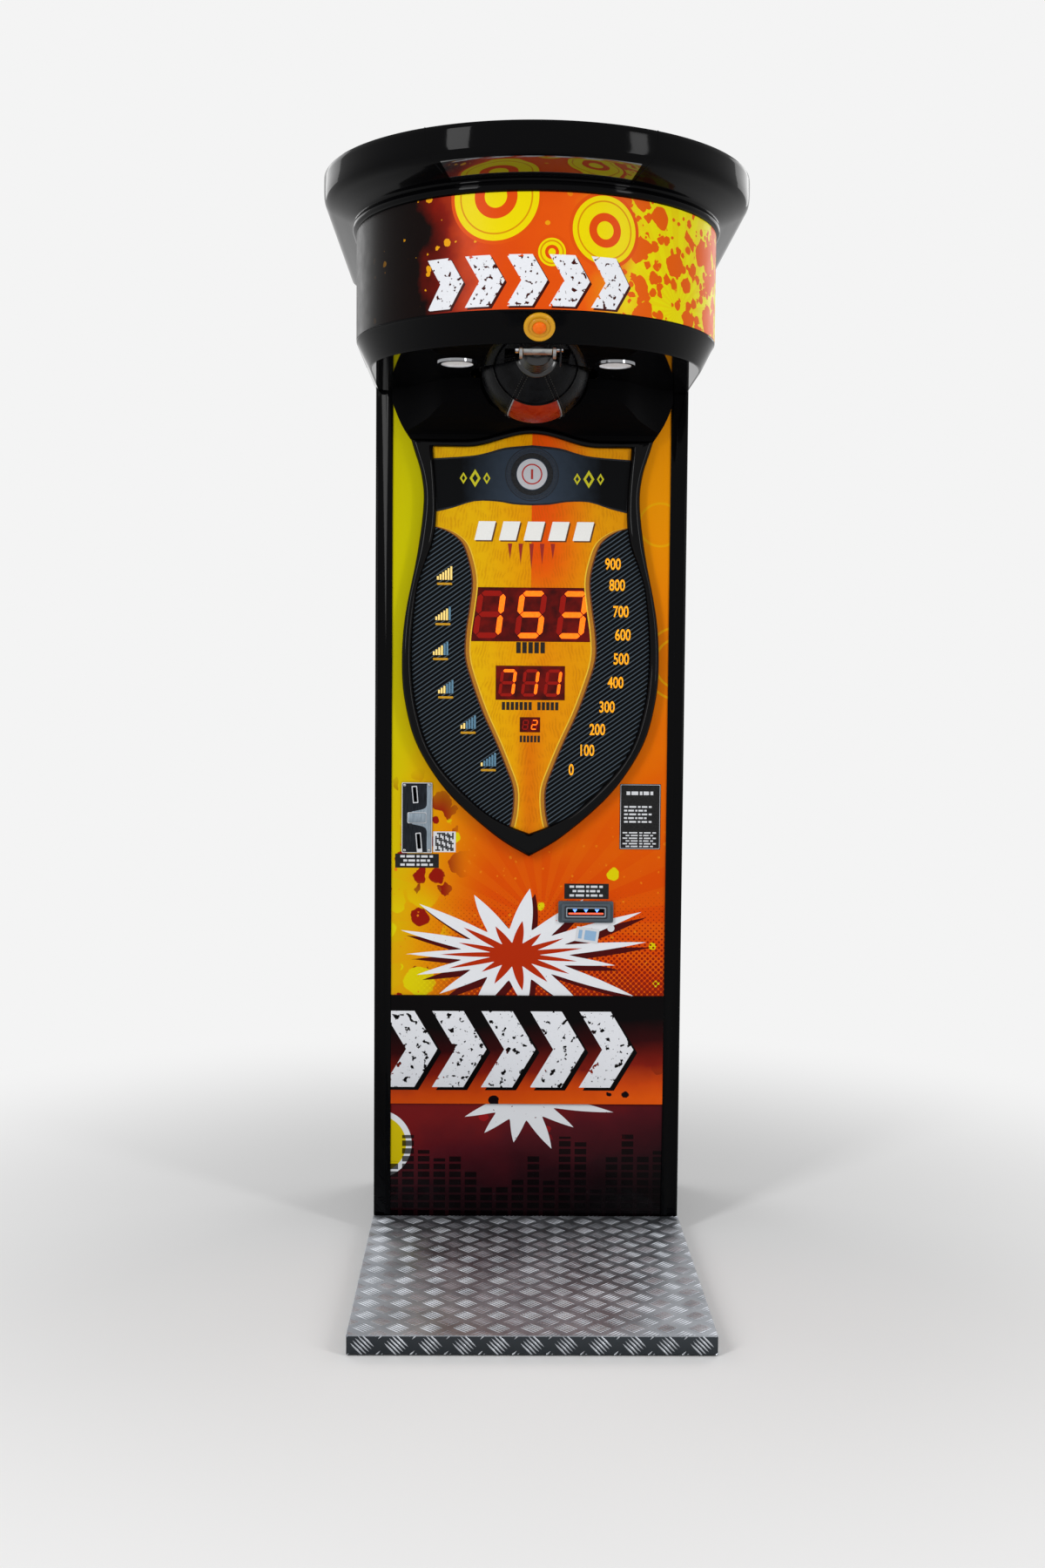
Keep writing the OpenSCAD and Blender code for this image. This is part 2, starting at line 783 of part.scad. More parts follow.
boss_r = 16;
catch_r = 6;
lever_t = 6;
lever_gap = 6;
lever_r = 10;

module ball_arm() {
    boss_x = cheek_x - 2;
    color(steel) at_pivot() difference() {
        union() {
            along_x(-boss_x, boss_x, boss_r, 0, 0);
            along_y(0, core_s - 2 * eps, arm_r, 0, 0);
            mirrored() {
                block(lever_gap, lever_gap + lever_t, -lever_r, lever_r, 0, catch_s);
                along_x(lever_gap, lever_gap + lever_t, lever_r, 0, catch_s);
            }
            along_x(-lever_gap - lever_t, lever_gap + lever_t, catch_r, 0, catch_s);
        }
        along_x(-cheek_x, cheek_x, axle_r, 0, 0);
        along_y(boss_r, core_s, arm_r - 3, 0, 0);
    }
}

bush_r = axle_r + 3;
bush_lip = 1.5;
cheek_out = cheek_x + cheek_t;
disc_x = cheek_out + 8;
disc_t = 2;

module swing_axle() {
    color("silver") at_pivot() {
        along_x(-disc_x, disc_x + disc_t + 4, axle_r, 0, 0);
        along_x(-disc_x, -cheek_out - bush_lip - seat, bush_r, 0, 0);
    }
}

module speed_disc() {
    hole_n = 16;
    color("#3a3a3d") at_pivot() difference() {
        along_x(disc_x, disc_x + disc_t, disc_r, 0, 0);
        along_x(disc_x - eps, disc_x + disc_t + eps, axle_r, 0, 0);
        for (k = [0 : hole_n - 1]) rotate([360 * k / hole_n, 0, 0])
            along_x(disc_x - eps, disc_x + disc_t + eps, 2.5, 0, disc_r - 6);
    }
}

module speed_sensor() {
    side_gap = 1.5;
    color("#202024") at_pivot() difference() {
        block(cheek_out, disc_x + disc_t + 8, -6, 6, disc_r - 12, disc_r + 14);
        block(disc_x - side_gap, disc_x + disc_t + side_gap, -7, 7, disc_r - 13, disc_r + 3);
    }
}

module axle_bushes() {
    color("#b08d57") at_pivot() mirrored() difference() {
        along_x(cheek_x - bush_lip, cheek_out + bush_lip, bush_r, 0, 0);
        along_x(cheek_x - 2 * bush_lip, cheek_out + 2 * bush_lip, axle_r + fit, 0, 0);
    }
}

// Latch: the hook's pivot stands in front of and above the catch pin
hook_dy = 35;
hook_dz = catch_s + 35;
hook_pin_r = 5;
hook_t = 8;
tip_out = 30;
tip_r = 4;
tail_h = 8;
hanger_t = 6;
hanger_z = bar_z - hanger_t;
hook_pivot = [0, pivot_y - hook_dy, pivot_z + hook_dz];
tip_y = hook_pivot[1] - tip_out;
// Height of the plunger's round tip above the hook's pivot, for a hook lifted by a
function tip_rise(a) = (tail_h * sin(a) - tip_out) * tan(a) + tail_h * cos(a)
    + tip_r / cos(a) + seat;
tip_open = tip_rise(hook_lift);
plunger_travel = tip_rise(0) - tip_open;

module swing_hanger() {
    top = hanger_z - pivot_z;
    foot = 24;
    spread = 60;
    hole_r = tip_r + 2;
    color(steel) difference() {
        union() {
            block(-spread, spread, tip_y - 25, pivot_y + spread + 16, hanger_z, bar_z);
            at_pivot() mirrored() translate([cheek_x, 0, 0]) rotate([90, 0, 90])
                linear_extrude(cheek_t) {
                    circle(r = foot);
                    polygon([[-foot, 0], [-foot, 40], [-spread, top], [spread, top],
                        [foot, 40], [foot, 0]]);
                }
            along_x(-cheek_out, cheek_out, hook_pin_r, hook_pivot[1], hook_pivot[2]);
        }
        at_pivot() along_x(-cheek_out - eps, cheek_out + eps, bush_r, 0, 0);
        translate([0, tip_y, hanger_z - eps]) cylinder(h = 2 * hanger_t, r = hole_r);
    }
}

module latch_hook() {
    pin_under = hook_dy + catch_r + 1.5;
    color(steel) translate(hook_pivot) rotate([hook_lift, 0, 0]) difference() {
        union() {
            along_x(-hook_t / 2, hook_t / 2, hook_pin_r + 7, 0, 0);
            translate([-hook_t / 2, 0, 0]) rotate([90, 0, 90]) linear_extrude(hook_t) {
                polygon([[-5, 11], [10, 11], [pin_under + 13, -22], [pin_under + 13, -46],
                    [pin_under, -46], [pin_under, -28], [28, -28], [-5, -11]]);
                polygon([[0, tail_h], [-tip_out - 12, tail_h], [-tip_out - 12, 0], [0, -6]]);
            }
        }
        along_x(-hook_t, hook_t, hook_pin_r + fit, 0, 0);
    }
}

// Torsion spring on the hook's pin: an open coil of round wire
module latch_spring() {
    wire_r = 0.9;
    coil_r = hook_pin_r + wire_r + 0.4;
    turns = 5;
    per_turn = 16;
    sides = 6;
    coil_x = hook_t / 2 + wire_r + 1;
    pitch = (cheek_x - coil_x - wire_r - 1) / turns;
    rings = [for (k = [0 : turns * per_turn]) let (a = 360 * k / per_turn)
        [for (j = [0 : sides - 1]) let (b = 360 * j / sides, r = coil_r + wire_r * cos(b))
            [coil_x + pitch * k / per_turn + wire_r * sin(b), r * cos(a), r * sin(a)]]];
    n = len(rings) - 1;
    color("silver") translate(hook_pivot) polyhedron([for (r = rings) each r], concat(
        [[for (j = [0 : sides - 1]) j]], [[for (j = [sides - 1 : -1 : 0]) n * sides + j]],
        [for (k = [0 : n - 1], j = [0 : sides - 1]) let (i = (j + 1) % sides, p = k * sides)
            each [[p + j, p + sides + j, p + sides + i], [p + j, p + sides + i, p + i]]]));
}

core_r = 7;
solenoid_h = 54;
solenoid_half = 19;

module latch_solenoid() {
    color("#2f3133") difference() {
        block(-solenoid_half, solenoid_half, tip_y - solenoid_half, tip_y + solenoid_half,
            bar_z, bar_z + solenoid_h);
        translate([0, tip_y, bar_z - eps]) cylinder(h = solenoid_h + 2 * eps, r = core_r + seat);
    }
}

module solenoid_plunger() {
    tip_z = hook_pivot[2] + tip_open;
    color("silver") translate([0, tip_y, 0]) {
        translate([0, 0, tip_z]) sphere(r = tip_r);
        translate([0, 0, tip_z]) cylinder(h = bar_z + 2 - tip_z, r = tip_r);
        translate([0, 0, bar_z + 1]) cylinder(h = solenoid_h + core_over - 1, r = core_r);
    }
}

module stop_bumper() {
    pad_r = 45;
    ball_top = pivot_z + ball_r + 0.4;
    color("#222224") translate([0, ball_y, ball_top]) cylinder(h = bar_z - ball_top, r = pad_r);
}

// Scoring shield
crest_w = 150;
frame_corner = [0.934, 1.016];
OUTER = [frame_corner, [0.907, 0.988], [0.855, 0.933], [0.837, 0.862], [0.886, 0.737],
    [0.976, 0.589], [1, 0.48], [0.976, 0.381], [0.875, 0.27], [0.63, 0.154], [0.266, 0.051],
    [0, 0]];
INNER = [[0.765, 1], [0.735, 0.86], [0.758, 0.775], [0.83, 0.711], [0.886, 0.646],
    [0.92, 0.518], [0.907, 0.414], [0.862, 0.338], [0.785, 0.267], [0.637, 0.198],
    [0.38, 0.119], [0.19, 0.081], [0, 0.057]];
shield_h = fascia_top_z - shield_tip_z;
function on_shield(p) = [for (v = p) [v[0] * shield_w / 2, shield_tip_z + v[1] * shield_h]];
function crest(x) = fascia_top_z + (x < crest_w ? crest_rise * (1 + cos(180 * x / crest_w)) / 2
    : 0);
function crest_line(up) = [for (x = [0 : 15 : crest_w]) [x, crest(x) + up]];
function frame_outline() = let (side = on_shield(OUTER), up = frame_top)
    both_sides(concat(crest_line(up), [[side[0][0], fascia_top_z + up]],
        spline([for (i = [1 : len(side) - 1]) side[i]], 3)));
function window_outline() = both_sides(concat(crest_line(0), spline(on_shield(INNER), 3)));
rabbet = 7;
fascia_t = 4;
fascia_y = panel_y - 16;
score_z = 1416;
best_z = 1263;
credit_z = 1169;

module shield_frame() {
    round_in = 3;
    color(black) difference() {
        union() {
            front_slab(panel_y - shield_d + 8, panel_y) polygon(frame_outline());
            front_slab(panel_y - shield_d + 3, panel_y) polygon(inset(frame_outline(), round_in));
            front_slab(panel_y - shield_d, panel_y)
                polygon(inset(frame_outline(), 3 * round_in));
        }
        front_slab(panel_y - shield_d - eps, panel_y + eps) polygon(window_outline());
        front_slab(fascia_y, panel_y + eps) polygon(inset(window_outline(), -rabbet));
    }
}

module display_window(w, h, z, grow) {
    translate([0, z]) square([w + grow, h + grow], center = true);
}

module display_windows(grow) {
    display_window(score_w, score_h, score_z, grow);
    display_window(best_w, best_h, best_z, grow);
    display_window(credit_w, credit_h, credit_z, grow);
}

module score_fascia() {
    color("#e0941c") front_slab(fascia_y, fascia_y + fascia_t) difference() {
        polygon(inset(window_outline(), joint_gap - rabbet));
        display_windows(0);
    }
}

board_y = panel_y - 4;
pcb_t = 1.6;

module score_displays() {
    color("#3a0605") front_slab(fascia_y + seat, board_y) display_windows(-1);
}

module circuit_boards() {
    edge = 12;
    board_top = score_z + score_h / 2;
    board_low = credit_z - credit_h / 2;
    control_y = panel_y + panel_t + 8;
    control_z = best_z - 60;
    color("#1f6b3a") {
        block(-best_w / 2, best_w / 2, board_y, board_y + pcb_t, board_low, board_top);
        for (z = [board_low + edge, board_top - edge]) mirrored()
            along_y(board_y, panel_y, 4, best_w / 2 - edge, z);
        block(-best_w / 2, best_w / 2, control_y, control_y + pcb_t, control_z - 220,
            control_z);
        for (z = [control_z - edge, control_z - 220 + edge]) mirrored()
            along_y(panel_y + panel_t, control_y + pcb_t, 4, best_w / 2 - edge, z);
        for (k = [0 : 3]) block(-60, 30 - 12 * k, control_y, control_y + 14 + 2 * k,
            control_z - 60 - 42 * k, control_z - 36 - 42 * k);
    }
}

// Ball pocket: the black moulding between the shield and the head's underside
pocket_d = 172;
pocket_t = 5;
pocket_gap = 8;
POCKET_SIDE = [[0, 0], [1, 0], [0.99, 0.2], [0.87, 0.45], [0.66, 0.66], [0.42, 0.8],
    [0.25, 0.9]];
// Its plan, as shares of its half width and depth: deep round the ball, shallow by the posts
POCKET_PLAN = [[1, 0.2], [0.9, 0.27], [0.78, 0.5], [0.64, 0.84], [0.5, 1]];

module pocket_form(cut, back) {
    low = fascia_top_z + frame_top + seat;
    corner_x = frame_corner[0] * shield_w / 2;
    wide = panel_half - post_fin / 4 - joint_gap;
    drop = head_z - low;
    side = spline([[wide, head_z], [wide, low + 0.74 * drop],
        [wide - 0.45 * (wide - corner_x), low + 0.32 * drop], [corner_x, low]], 4);
    crest_back = crest_line(frame_top + seat);
    outline = both_sides(concat([[0, head_z]], side,
        [for (i = [len(crest_back) - 1 : -1 : 0]) crest_back[i]]));
    foot = shield_d + 4 - cut;
    depth = pocket_d - cut;
    plan = both_sides(concat([[0, panel_y + back], [wide - cut, panel_y + back]],
        [for (p = spline(POCKET_PLAN, 4)) [p[0] * wide - cut, panel_y + cut - p[1] * pocket_d]],
        [[0, panel_y - depth]]));
    intersection() {
        front_slab(panel_y - pocket_d, panel_y + back)
            polygon(cut > 0 ? inset(outline, cut) : outline);
        translate([0, 0, low - eps]) linear_extrude(drop + cut + 2 * eps) polygon(plan);
        translate([-half_w, 0, 0]) rotate([90, 0, 90]) linear_extrude(cab_w) polygon(concat(
            [[panel_y + back, head_z + cut]],
            [for (v = POCKET_SIDE) if (v[0] > 0)
                [panel_y - foot - (depth - foot) * (v[0] - 0.25) / 0.75,
                    head_z - v[1] * drop + cut]],
            [[panel_y - foot, low - eps], [panel_y + back, low - eps]]));
    }
}

module ball_sweep(gap) {
    at_pivot() rotate([0, 90, 0]) rotate_extrude() translate([ball_s, 0])
        circle(r = ball_r + gap);
}

module ball_pocket() {
    color(black) difference() {
        pocket_form(0, 0);
        ball_sweep(pocket_gap);
        difference() {
            pocket_form(pocket_t, eps);
            ball_sweep(pocket_gap + pocket_t);
        }
    }
}

// Coin entry
slot_dz = 53;
slot_dx = 4.5;
plate_d = 3;
reject_w = 40;
reject_h = 21;

module at_slots() {
    for (s = [-1, 1]) translate([-coin_x - s * slot_dx, 0, coin_z + s * slot_dz])
        rotate([0, -slot_lean, 0]) children();
}

module slot_cut(w, l, y0, y1) {
    front_slab(y0, y1) round_rect(w, l, w / 2 - 0.1);
}

module coin_plate() {
    ring = 7;
    ring_d = 3;
    plate_y = panel_y - plate_d;
    color("#3a3c40") difference() {
        union() {
            translate([-coin_x, 0, coin_z]) front_slab(plate_y, panel_y)
                round_rect(coin_w, coin_h, 3);
            at_slots() slot_cut(slot_w + ring, slot_l + ring, plate_y - ring_d, panel_y);
        }
        at_slots() slot_cut(slot_w, slot_l, plate_y - 2 * ring_d, panel_y + eps);
        block(-coin_x - reject_w / 2 - seat, -coin_x + reject_w / 2 + seat, plate_y - eps,
            panel_y + eps, coin_z - reject_h / 2 - seat, coin_z + reject_h / 2 + seat);
    }
}

module reject_button() {
    lip = 2;
    color("silver") translate([-coin_x, 0, coin_z]) {
        front_slab(panel_y - plate_d - press - 1, panel_y + lip) round_rect(reject_w,
            reject_h, 3);
        front_slab(panel_y + seat, panel_y + lip) round_rect(reject_w + 2 * lip,
            reject_h + 2 * lip, 3);
    }
}

module coin_validators() {
    body_half_w = 26;
    body_d = 110;
    far = 18;
    near = 36;
    color("#44474c") difference() {
        for (s = [-1, 1]) let (z = coin_z + s * slot_dz)
            block(-coin_x - body_half_w, -coin_x + body_half_w, panel_y + joint_gap,
                panel_y + body_d, z - (s > 0 ? near : far), z + (s > 0 ? far : near));
        at_slots() slot_cut(slot_w + 3, slot_l + 2, panel_y, panel_y + body_d / 2);
    }
}

module cash_box() {
    box_half = 60;
    box_d = 180;
    box_h = 210;
    wall = 2;
    box_y = panel_y + post_d + 4;
    color(steel) difference() {
        block(-coin_x - box_half, -coin_x + box_half, box_y, box_y + box_d, shelf_z,
            shelf_z + box_h);
        block(-coin_x - box_half + wall, -coin_x + box_half - wall, box_y + wall,
            box_y + box_d - wall, shelf_z + wall, shelf_z + box_h + eps);
    }
}

// Note entry
module note_bezel() {
    bezel_d = 14;
    color("#6f7c88") difference() {
        translate([note_x, 0, note_z]) {
            front_slab(panel_y - bezel_d / 2, panel_y) round_rect(note_w, note_h, 4);
            front_slab(panel_y - bezel_d, panel_y) round_rect(note_w - 14, note_h - 10, 4);
        }
        block(note_x - mouth_w / 2, note_x + mouth_w / 2, panel_y - 2 * bezel_d, panel_y + eps,
            note_z - mouth_h / 2, note_z + mouth_h / 2);
    }
}

module note_acceptor() {
    body_d = 160;
    throat_h = mouth_h - 4;
    color("#2a2c30") difference() {
        block(note_x - note_body_w / 2, note_x + note_body_w / 2, panel_y, panel_y + body_d,
            note_z - note_body_h / 2, note_z + note_body_h / 2);
        block(note_x - mouth_w / 2 + 1, note_x + mouth_w / 2 - 1, panel_y - eps, panel_y + 50,
            note_z - throat_h / 2, note_z + throat_h / 2);
    }
}

// Start button, set square to the belt
start_cap_r = start_barrel_r - 4;
start_barrel = 34;

module start_bezel() {
    color("#e8a61c") at_start() difference() {
        union() {
            translate([0, 0, seat]) cylinder(h = 6, r = start_r);
            translate([0, 0, -start_barrel]) cylinder(h = start_barrel + 1, r = start_barrel_r);
        }
        translate([0, 0, -start_barrel + 6]) cylinder(h = start_barrel + 10,
            r = start_cap_r + seat);
    }
}

module start_button() {
    cap_back = -start_barrel + 6 + press + 1;
    color("#f4a11f") at_start() translate([0, 0, cap_back])
        cylinder(h = 6 + seat + press + 1 - cap_back, r = start_cap_r);
}

// Electrics
module power_supply() {
    psu_x = 160;
    psu_half = 100;
    psu_d = 110;
    psu_h = 60;
    psu_y = inside_y + 20;
    strip_half = 90;
    strip_d = 16;
    strip_z = 22;
    floor_top = rail_z + board_t;
    color("silver") {
        block(psu_x - psu_half, psu_x + psu_half, psu_y, psu_y + psu_d, floor_top,
            floor_top + psu_h);
        block(psu_x - strip_half, psu_x + strip_half, psu_y + psu_d, psu_y + psu_d + strip_d,
            floor_top, floor_top + strip_z);
    }
}

module speaker() {
    depth = 46;
    color("#202022") translate([0, back_y - board_t, speaker_z]) rotate([90, 0, 0])
        rotate_extrude() polygon([[0, 12], [14, 14], [speaker_r - 10, 3], [speaker_r - 10, 0],
            [speaker_r, 0], [speaker_r, 4], [speaker_r - 6, 6], [26, 24], [26, depth],
            [0, depth]]);
}

socket_x = -12;
socket_w = 24;
socket_h = 17;
rocker_x = 14;
rocker_w = 13;
rocker_h = 20;
rocker_swing = 8;
rocker_pin = 1.5;
inlet_lip = 3;

module power_inlet() {
    color("#19191b") difference() {
        union() {
            translate([inlet_x, 0, inlet_z]) front_slab(back_y, back_y + inlet_lip)
                round_rect(inlet_w, inlet_h, 3);
            block(inlet_x - inlet_w / 2 + 5, inlet_x + inlet_w / 2 - 5, back_y - 32, back_y + 1,
                inlet_z - inlet_h / 2 + 5, inlet_z + inlet_h / 2 - 5);
        }
        block(inlet_x + socket_x - socket_w / 2, inlet_x + socket_x + socket_w / 2, back_y - 14,
            back_y + inlet_lip + eps, inlet_z - socket_h / 2, inlet_z + socket_h / 2);
        block(inlet_x + rocker_x - rocker_w / 2, inlet_x + rocker_x + rocker_w / 2,
            back_y - 12, back_y + inlet_lip + eps, inlet_z - rocker_h / 2 - 1,
            inlet_z + rocker_h / 2 + 1);
        along_x(inlet_x + rocker_x - rocker_w / 2 - 2, inlet_x + rocker_x + rocker_w / 2 + 2,
            rocker_pin + fit, back_y - 2, inlet_z);
    }
    color("silver") for (p = [[0, 3], [-6, -3], [6, -3]])
        block(inlet_x + socket_x + p[0] - 1, inlet_x + socket_x + p[0] + 1, back_y - 15,
            back_y - 3, inlet_z + p[1] - 2, inlet_z + p[1] + 2);
}

module power_rocker() {
    side_gap = 0.4;
    color("#b3201c") translate([inlet_x + rocker_x, back_y - 2, inlet_z])
        rotate([-rocker_swing, 0, 0]) {
            block(-rocker_w / 2 + side_gap, rocker_w / 2 - side_gap, -3, 5,
                -rocker_h / 2 + 1, rocker_h / 2 - 1);
            along_x(-rocker_w / 2 - 1.5, rocker_w / 2 + 1.5, rocker_pin, 0, 0);
        }
}

base_rails();
base_crossbars();
tread_plate();
rubber_feet();
wheel_brackets();
wheel_left();
wheel_right();
front_posts();
side_panels();
front_panel_upper();
front_panel_strip();
front_panel_lower();
cabinet_shelves();
back_panels();
rear_door();
door_hinges();
door_lock();
head_frame();
head_belt();
head_band();
head_crown();
head_cover();
head_shoulders();
head_underside();
band_lamps();
downlight_bezels();
downlight_lenses();
downlight_housings();
swing_hanger();
axle_bushes();
swing_axle();
ball_arm();
ball_collar();
ball_cover();
ball_filling();
speed_disc();
speed_sensor();
latch_hook();
latch_spring();
latch_solenoid();
solenoid_plunger();
stop_bumper();
shield_frame();
ball_pocket();
score_fascia();
score_displays();
circuit_boards();
coin_plate();
reject_button();
coin_validators();
cash_box();
note_bezel();
note_acceptor();
start_bezel();
start_button();
power_supply();
speaker();
power_inlet();
power_rocker();
back_screws();
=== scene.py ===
import math

import bpy
from mathutils import Matrix, Vector


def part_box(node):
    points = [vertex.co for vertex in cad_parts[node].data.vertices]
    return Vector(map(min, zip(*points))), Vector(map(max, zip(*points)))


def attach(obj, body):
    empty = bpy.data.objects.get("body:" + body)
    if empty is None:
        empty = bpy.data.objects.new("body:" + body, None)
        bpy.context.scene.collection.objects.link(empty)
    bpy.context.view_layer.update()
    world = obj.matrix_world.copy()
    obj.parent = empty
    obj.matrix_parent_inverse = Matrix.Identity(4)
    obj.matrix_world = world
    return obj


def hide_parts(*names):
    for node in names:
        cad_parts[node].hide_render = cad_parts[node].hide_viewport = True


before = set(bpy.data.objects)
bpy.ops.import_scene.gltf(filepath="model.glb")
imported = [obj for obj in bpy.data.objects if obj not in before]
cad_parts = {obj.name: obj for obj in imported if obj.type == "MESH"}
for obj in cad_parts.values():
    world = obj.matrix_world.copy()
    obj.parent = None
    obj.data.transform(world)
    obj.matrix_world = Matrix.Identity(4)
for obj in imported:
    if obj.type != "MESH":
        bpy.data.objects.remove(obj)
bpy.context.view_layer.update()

bl_info = {
    "name": "Boxing Arcade Machine",
    "version": (1, 0, 0),
    "blender": (4, 5, 0),
    "location": "View3D > Sidebar > Arcade",
    "description": "Dresses the frame with its prints, tread, head shells, digits and ball",
    "category": "Object",
}

MM = 0.001


def low(node):
    """The lowest corner of a CAD node."""
    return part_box(node)[0]


def high(node):
    """The highest corner of a CAD node."""
    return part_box(node)[1]


def middle(node):
    """The middle of a CAD node's box."""
    return (low(node) + high(node)) / 2


PANEL_Y = low("front_panel_upper").y
FASCIA_Y = low("score_fascia").y
PIVOT = Vector((0, middle("axle_bushes").y, middle("axle_bushes").z))
DECAL = 0.3 * MM     # how far a printed film stands out of what it lies on


def linear(code):
    """A colour written as sRGB hex, in linear light; one that is linear already stays so."""
    if not isinstance(code, str):
        return code
    channels = [int(code[i:i + 2], 16) / 255 for i in (1, 3, 5)]
    return [c / 12.92 if c <= 0.04045 else ((c + 0.055) / 1.055) ** 2.4
            for c in channels] + [1.0]


# Meshes

def deselect():
    """Leaves edit mode and deselects everything."""
    if bpy.context.object and bpy.context.object.mode != "OBJECT":
        bpy.ops.object.mode_set(mode="OBJECT")
    bpy.ops.object.select_all(action="DESELECT")


def pick(obj):
    """Selects one object alone and makes it active."""
    deselect()
    obj.select_set(True)
    bpy.context.view_layer.objects.active = obj


def settle(obj, name, turn=(0, 0, 0), place=(0, 0, 0), smooth=30):
    """Turns and places a mesh, applies that, and shades it smooth up to an angle."""
    pick(obj)
    obj.name = obj.data.name = name
    obj.rotation_euler = [math.radians(a) for a in turn]
    obj.location = place
    bpy.ops.object.transform_apply(location=True, rotation=True, scale=True)
    bpy.ops.object.mode_set(mode="EDIT")
    bpy.ops.mesh.select_all(action="SELECT")
    bpy.ops.mesh.remove_doubles(threshold=1e-6)
    bpy.ops.mesh.delete_loose()
    bpy.ops.mesh.select_all(action="SELECT")
    bpy.ops.mesh.normals_make_consistent(inside=False)
    bpy.ops.object.mode_set(mode="OBJECT")
    bpy.ops.object.shade_smooth_by_angle(angle=math.radians(smooth))
    return obj


def join(name, objects):
    """Joins several meshes into one piece."""
    deselect()
    for obj in objects:
        obj.select_set(True)
    bpy.context.view_layer.objects.active = objects[0]
    bpy.ops.object.join()
    objects[0].name = objects[0].data.name = name
    return objects[0]


def modify(obj, kind, **settings):
    """Adds a modifier with its settings and applies it."""
    pick(obj)
    made = obj.modifiers.new(kind.lower(), kind)
    for key, value in settings.items():
        setattr(made, key, value)
    bpy.ops.object.modifier_apply(modifier=made.name)


def dress(obj, body, finish, replaces=()):
    """Gives a piece its material, its body and the nodes it stands for."""
    if finish:
        obj.data.materials.clear()
        obj.data.materials.append(finish)
    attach(obj, body)
    if replaces:
        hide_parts(*replaces)
    return obj


def plate(name, outlines, front, back, rounding=0.0):
    """A plate facing the player, cut to closed outlines of X and Z, with rounded edges."""
    drawing = bpy.data.curves.new(name, "CURVE")
    drawing.dimensions = "2D"
    drawing.fill_mode = "BOTH"
    for outline in outlines:
        line = drawing.splines.new("POLY")
        line.points.add(len(outline) - 1)
        for point, (x, z) in zip(line.points, outline):
            point.co = (x, z, 0, 1)
        line.use_cyclic_u = True
    drawing.extrude = (back - front) / 2 - rounding
    drawing.bevel_depth = rounding
    drawing.offset = -rounding
    drawing.bevel_resolution = 4
    obj = bpy.data.objects.new(name, drawing)
    bpy.context.scene.collection.objects.link(obj)
    pick(obj)
    bpy.ops.object.convert(target="MESH")
    return settle(bpy.context.object, name, (90, 0, 0), (0, (front + back) / 2, 0))


def skin(name, rows, around=False):
    """A skin over rows of points; around joins it where it meets itself and caps its ends."""
    bpy.ops.mesh.primitive_grid_add(x_subdivisions=len(rows[0]) - 1,
                                    y_subdivisions=len(rows) - 1, size=1)
    obj = bpy.context.object
    points = [point for row in rows for point in row]
    for vertex, point in zip(obj.data.vertices, points):
        vertex.co = point
    pick(obj)
    if around:
        bpy.ops.object.mode_set(mode="EDIT")
        bpy.ops.mesh.select_all(action="SELECT")
        bpy.ops.mesh.remove_doubles(threshold=1e-6)
        bpy.ops.mesh.select_all(action="SELECT")
        bpy.ops.mesh.fill_holes(sides=0)
        bpy.ops.object.mode_set(mode="OBJECT")
    return settle(obj, name, smooth=35)


def turned(name, profile, steps, turn, place):
    """A body turned about Z from a closed profile of radius and height in millimetres."""
    bpy.ops.mesh.primitive_circle_add(vertices=len(profile), radius=1)
    obj = bpy.context.object
    for vertex, (radius, height) in zip(obj.data.vertices, profile):
        vertex.co = (radius * MM, 0, height * MM)
    pick(obj)
    bpy.ops.object.mode_set(mode="EDIT")
    bpy.ops.mesh.select_all(action="SELECT")
    bpy.ops.mesh.spin(steps=steps, angle=2 * math.pi, center=(0, 0, 0), axis=(0, 0, 1))
    bpy.ops.object.mode_set(mode="OBJECT")
    return settle(obj, name, turn, place, 35)


def cut(obj, point, outward):
    """Cuts away what lies outward of a plane and closes the cut."""
    pick(obj)
    bpy.ops.object.mode_set(mode="EDIT")
    bpy.ops.mesh.select_all(action="SELECT")
    bpy.ops.mesh.bisect(plane_co=point, plane_no=outward, use_fill=True, clear_outer=True)
    bpy.ops.object.mode_set(mode="OBJECT")


def curve_through(points, steps):
    """A smooth curve through points, with the same number of steps on each stretch."""
    made = []
    last = len(points) - 1
    for i in range(last):
        a, b = points[max(i - 1, 0)], points[i]
        c, d = points[i + 1], points[min(i + 2, last)]
        for j in range(steps):
            t = j / steps
            made.append(tuple(0.5 * (2 * q + (r - p) * t + (2 * p - 5 * q + 4 * r - s) * t * t
                                     + (3 * q - p - 3 * r + s) * t ** 3)
                              for p, q, r, s in zip(a, b, c, d)))
    return made + [tuple(points[-1])]


def both_sides(right):
    """The right half of an outline, from top to bottom, closed with its mirror image."""
    return right + [(-x, z) for x, z in reversed(right) if abs(x) > 1e-9]


def box_outline(x, z, width, height, radius=0.0, corner=4):
    """A rectangle with round corners about a middle, as a closed outline."""
    if not radius:
        return [(x + sx * width / 2, z + sz * height / 2)
                for sx, sz in ((-1, -1), (1, -1), (1, 1), (-1, 1))]
    made = []
    for sx, sz, start in ((1, 1, 0), (-1, 1, 90), (-1, -1, 180), (1, -1, 270)):
        for k in range(corner + 1):
            t = math.radians(start + 90 * k / corner)
            made.append((x + sx * (width / 2 - radius) + radius * math.cos(t),
                         z + sz * (height / 2 - radius) + radius * math.sin(t)))
    return made


def disc_outline(x, z, radius, steps=48):
    """A circle as a closed outline."""
    return [(x + radius * math.cos(2 * math.pi * k / steps),
             z + radius * math.sin(2 * math.pi * k / steps)) for k in range(steps)]


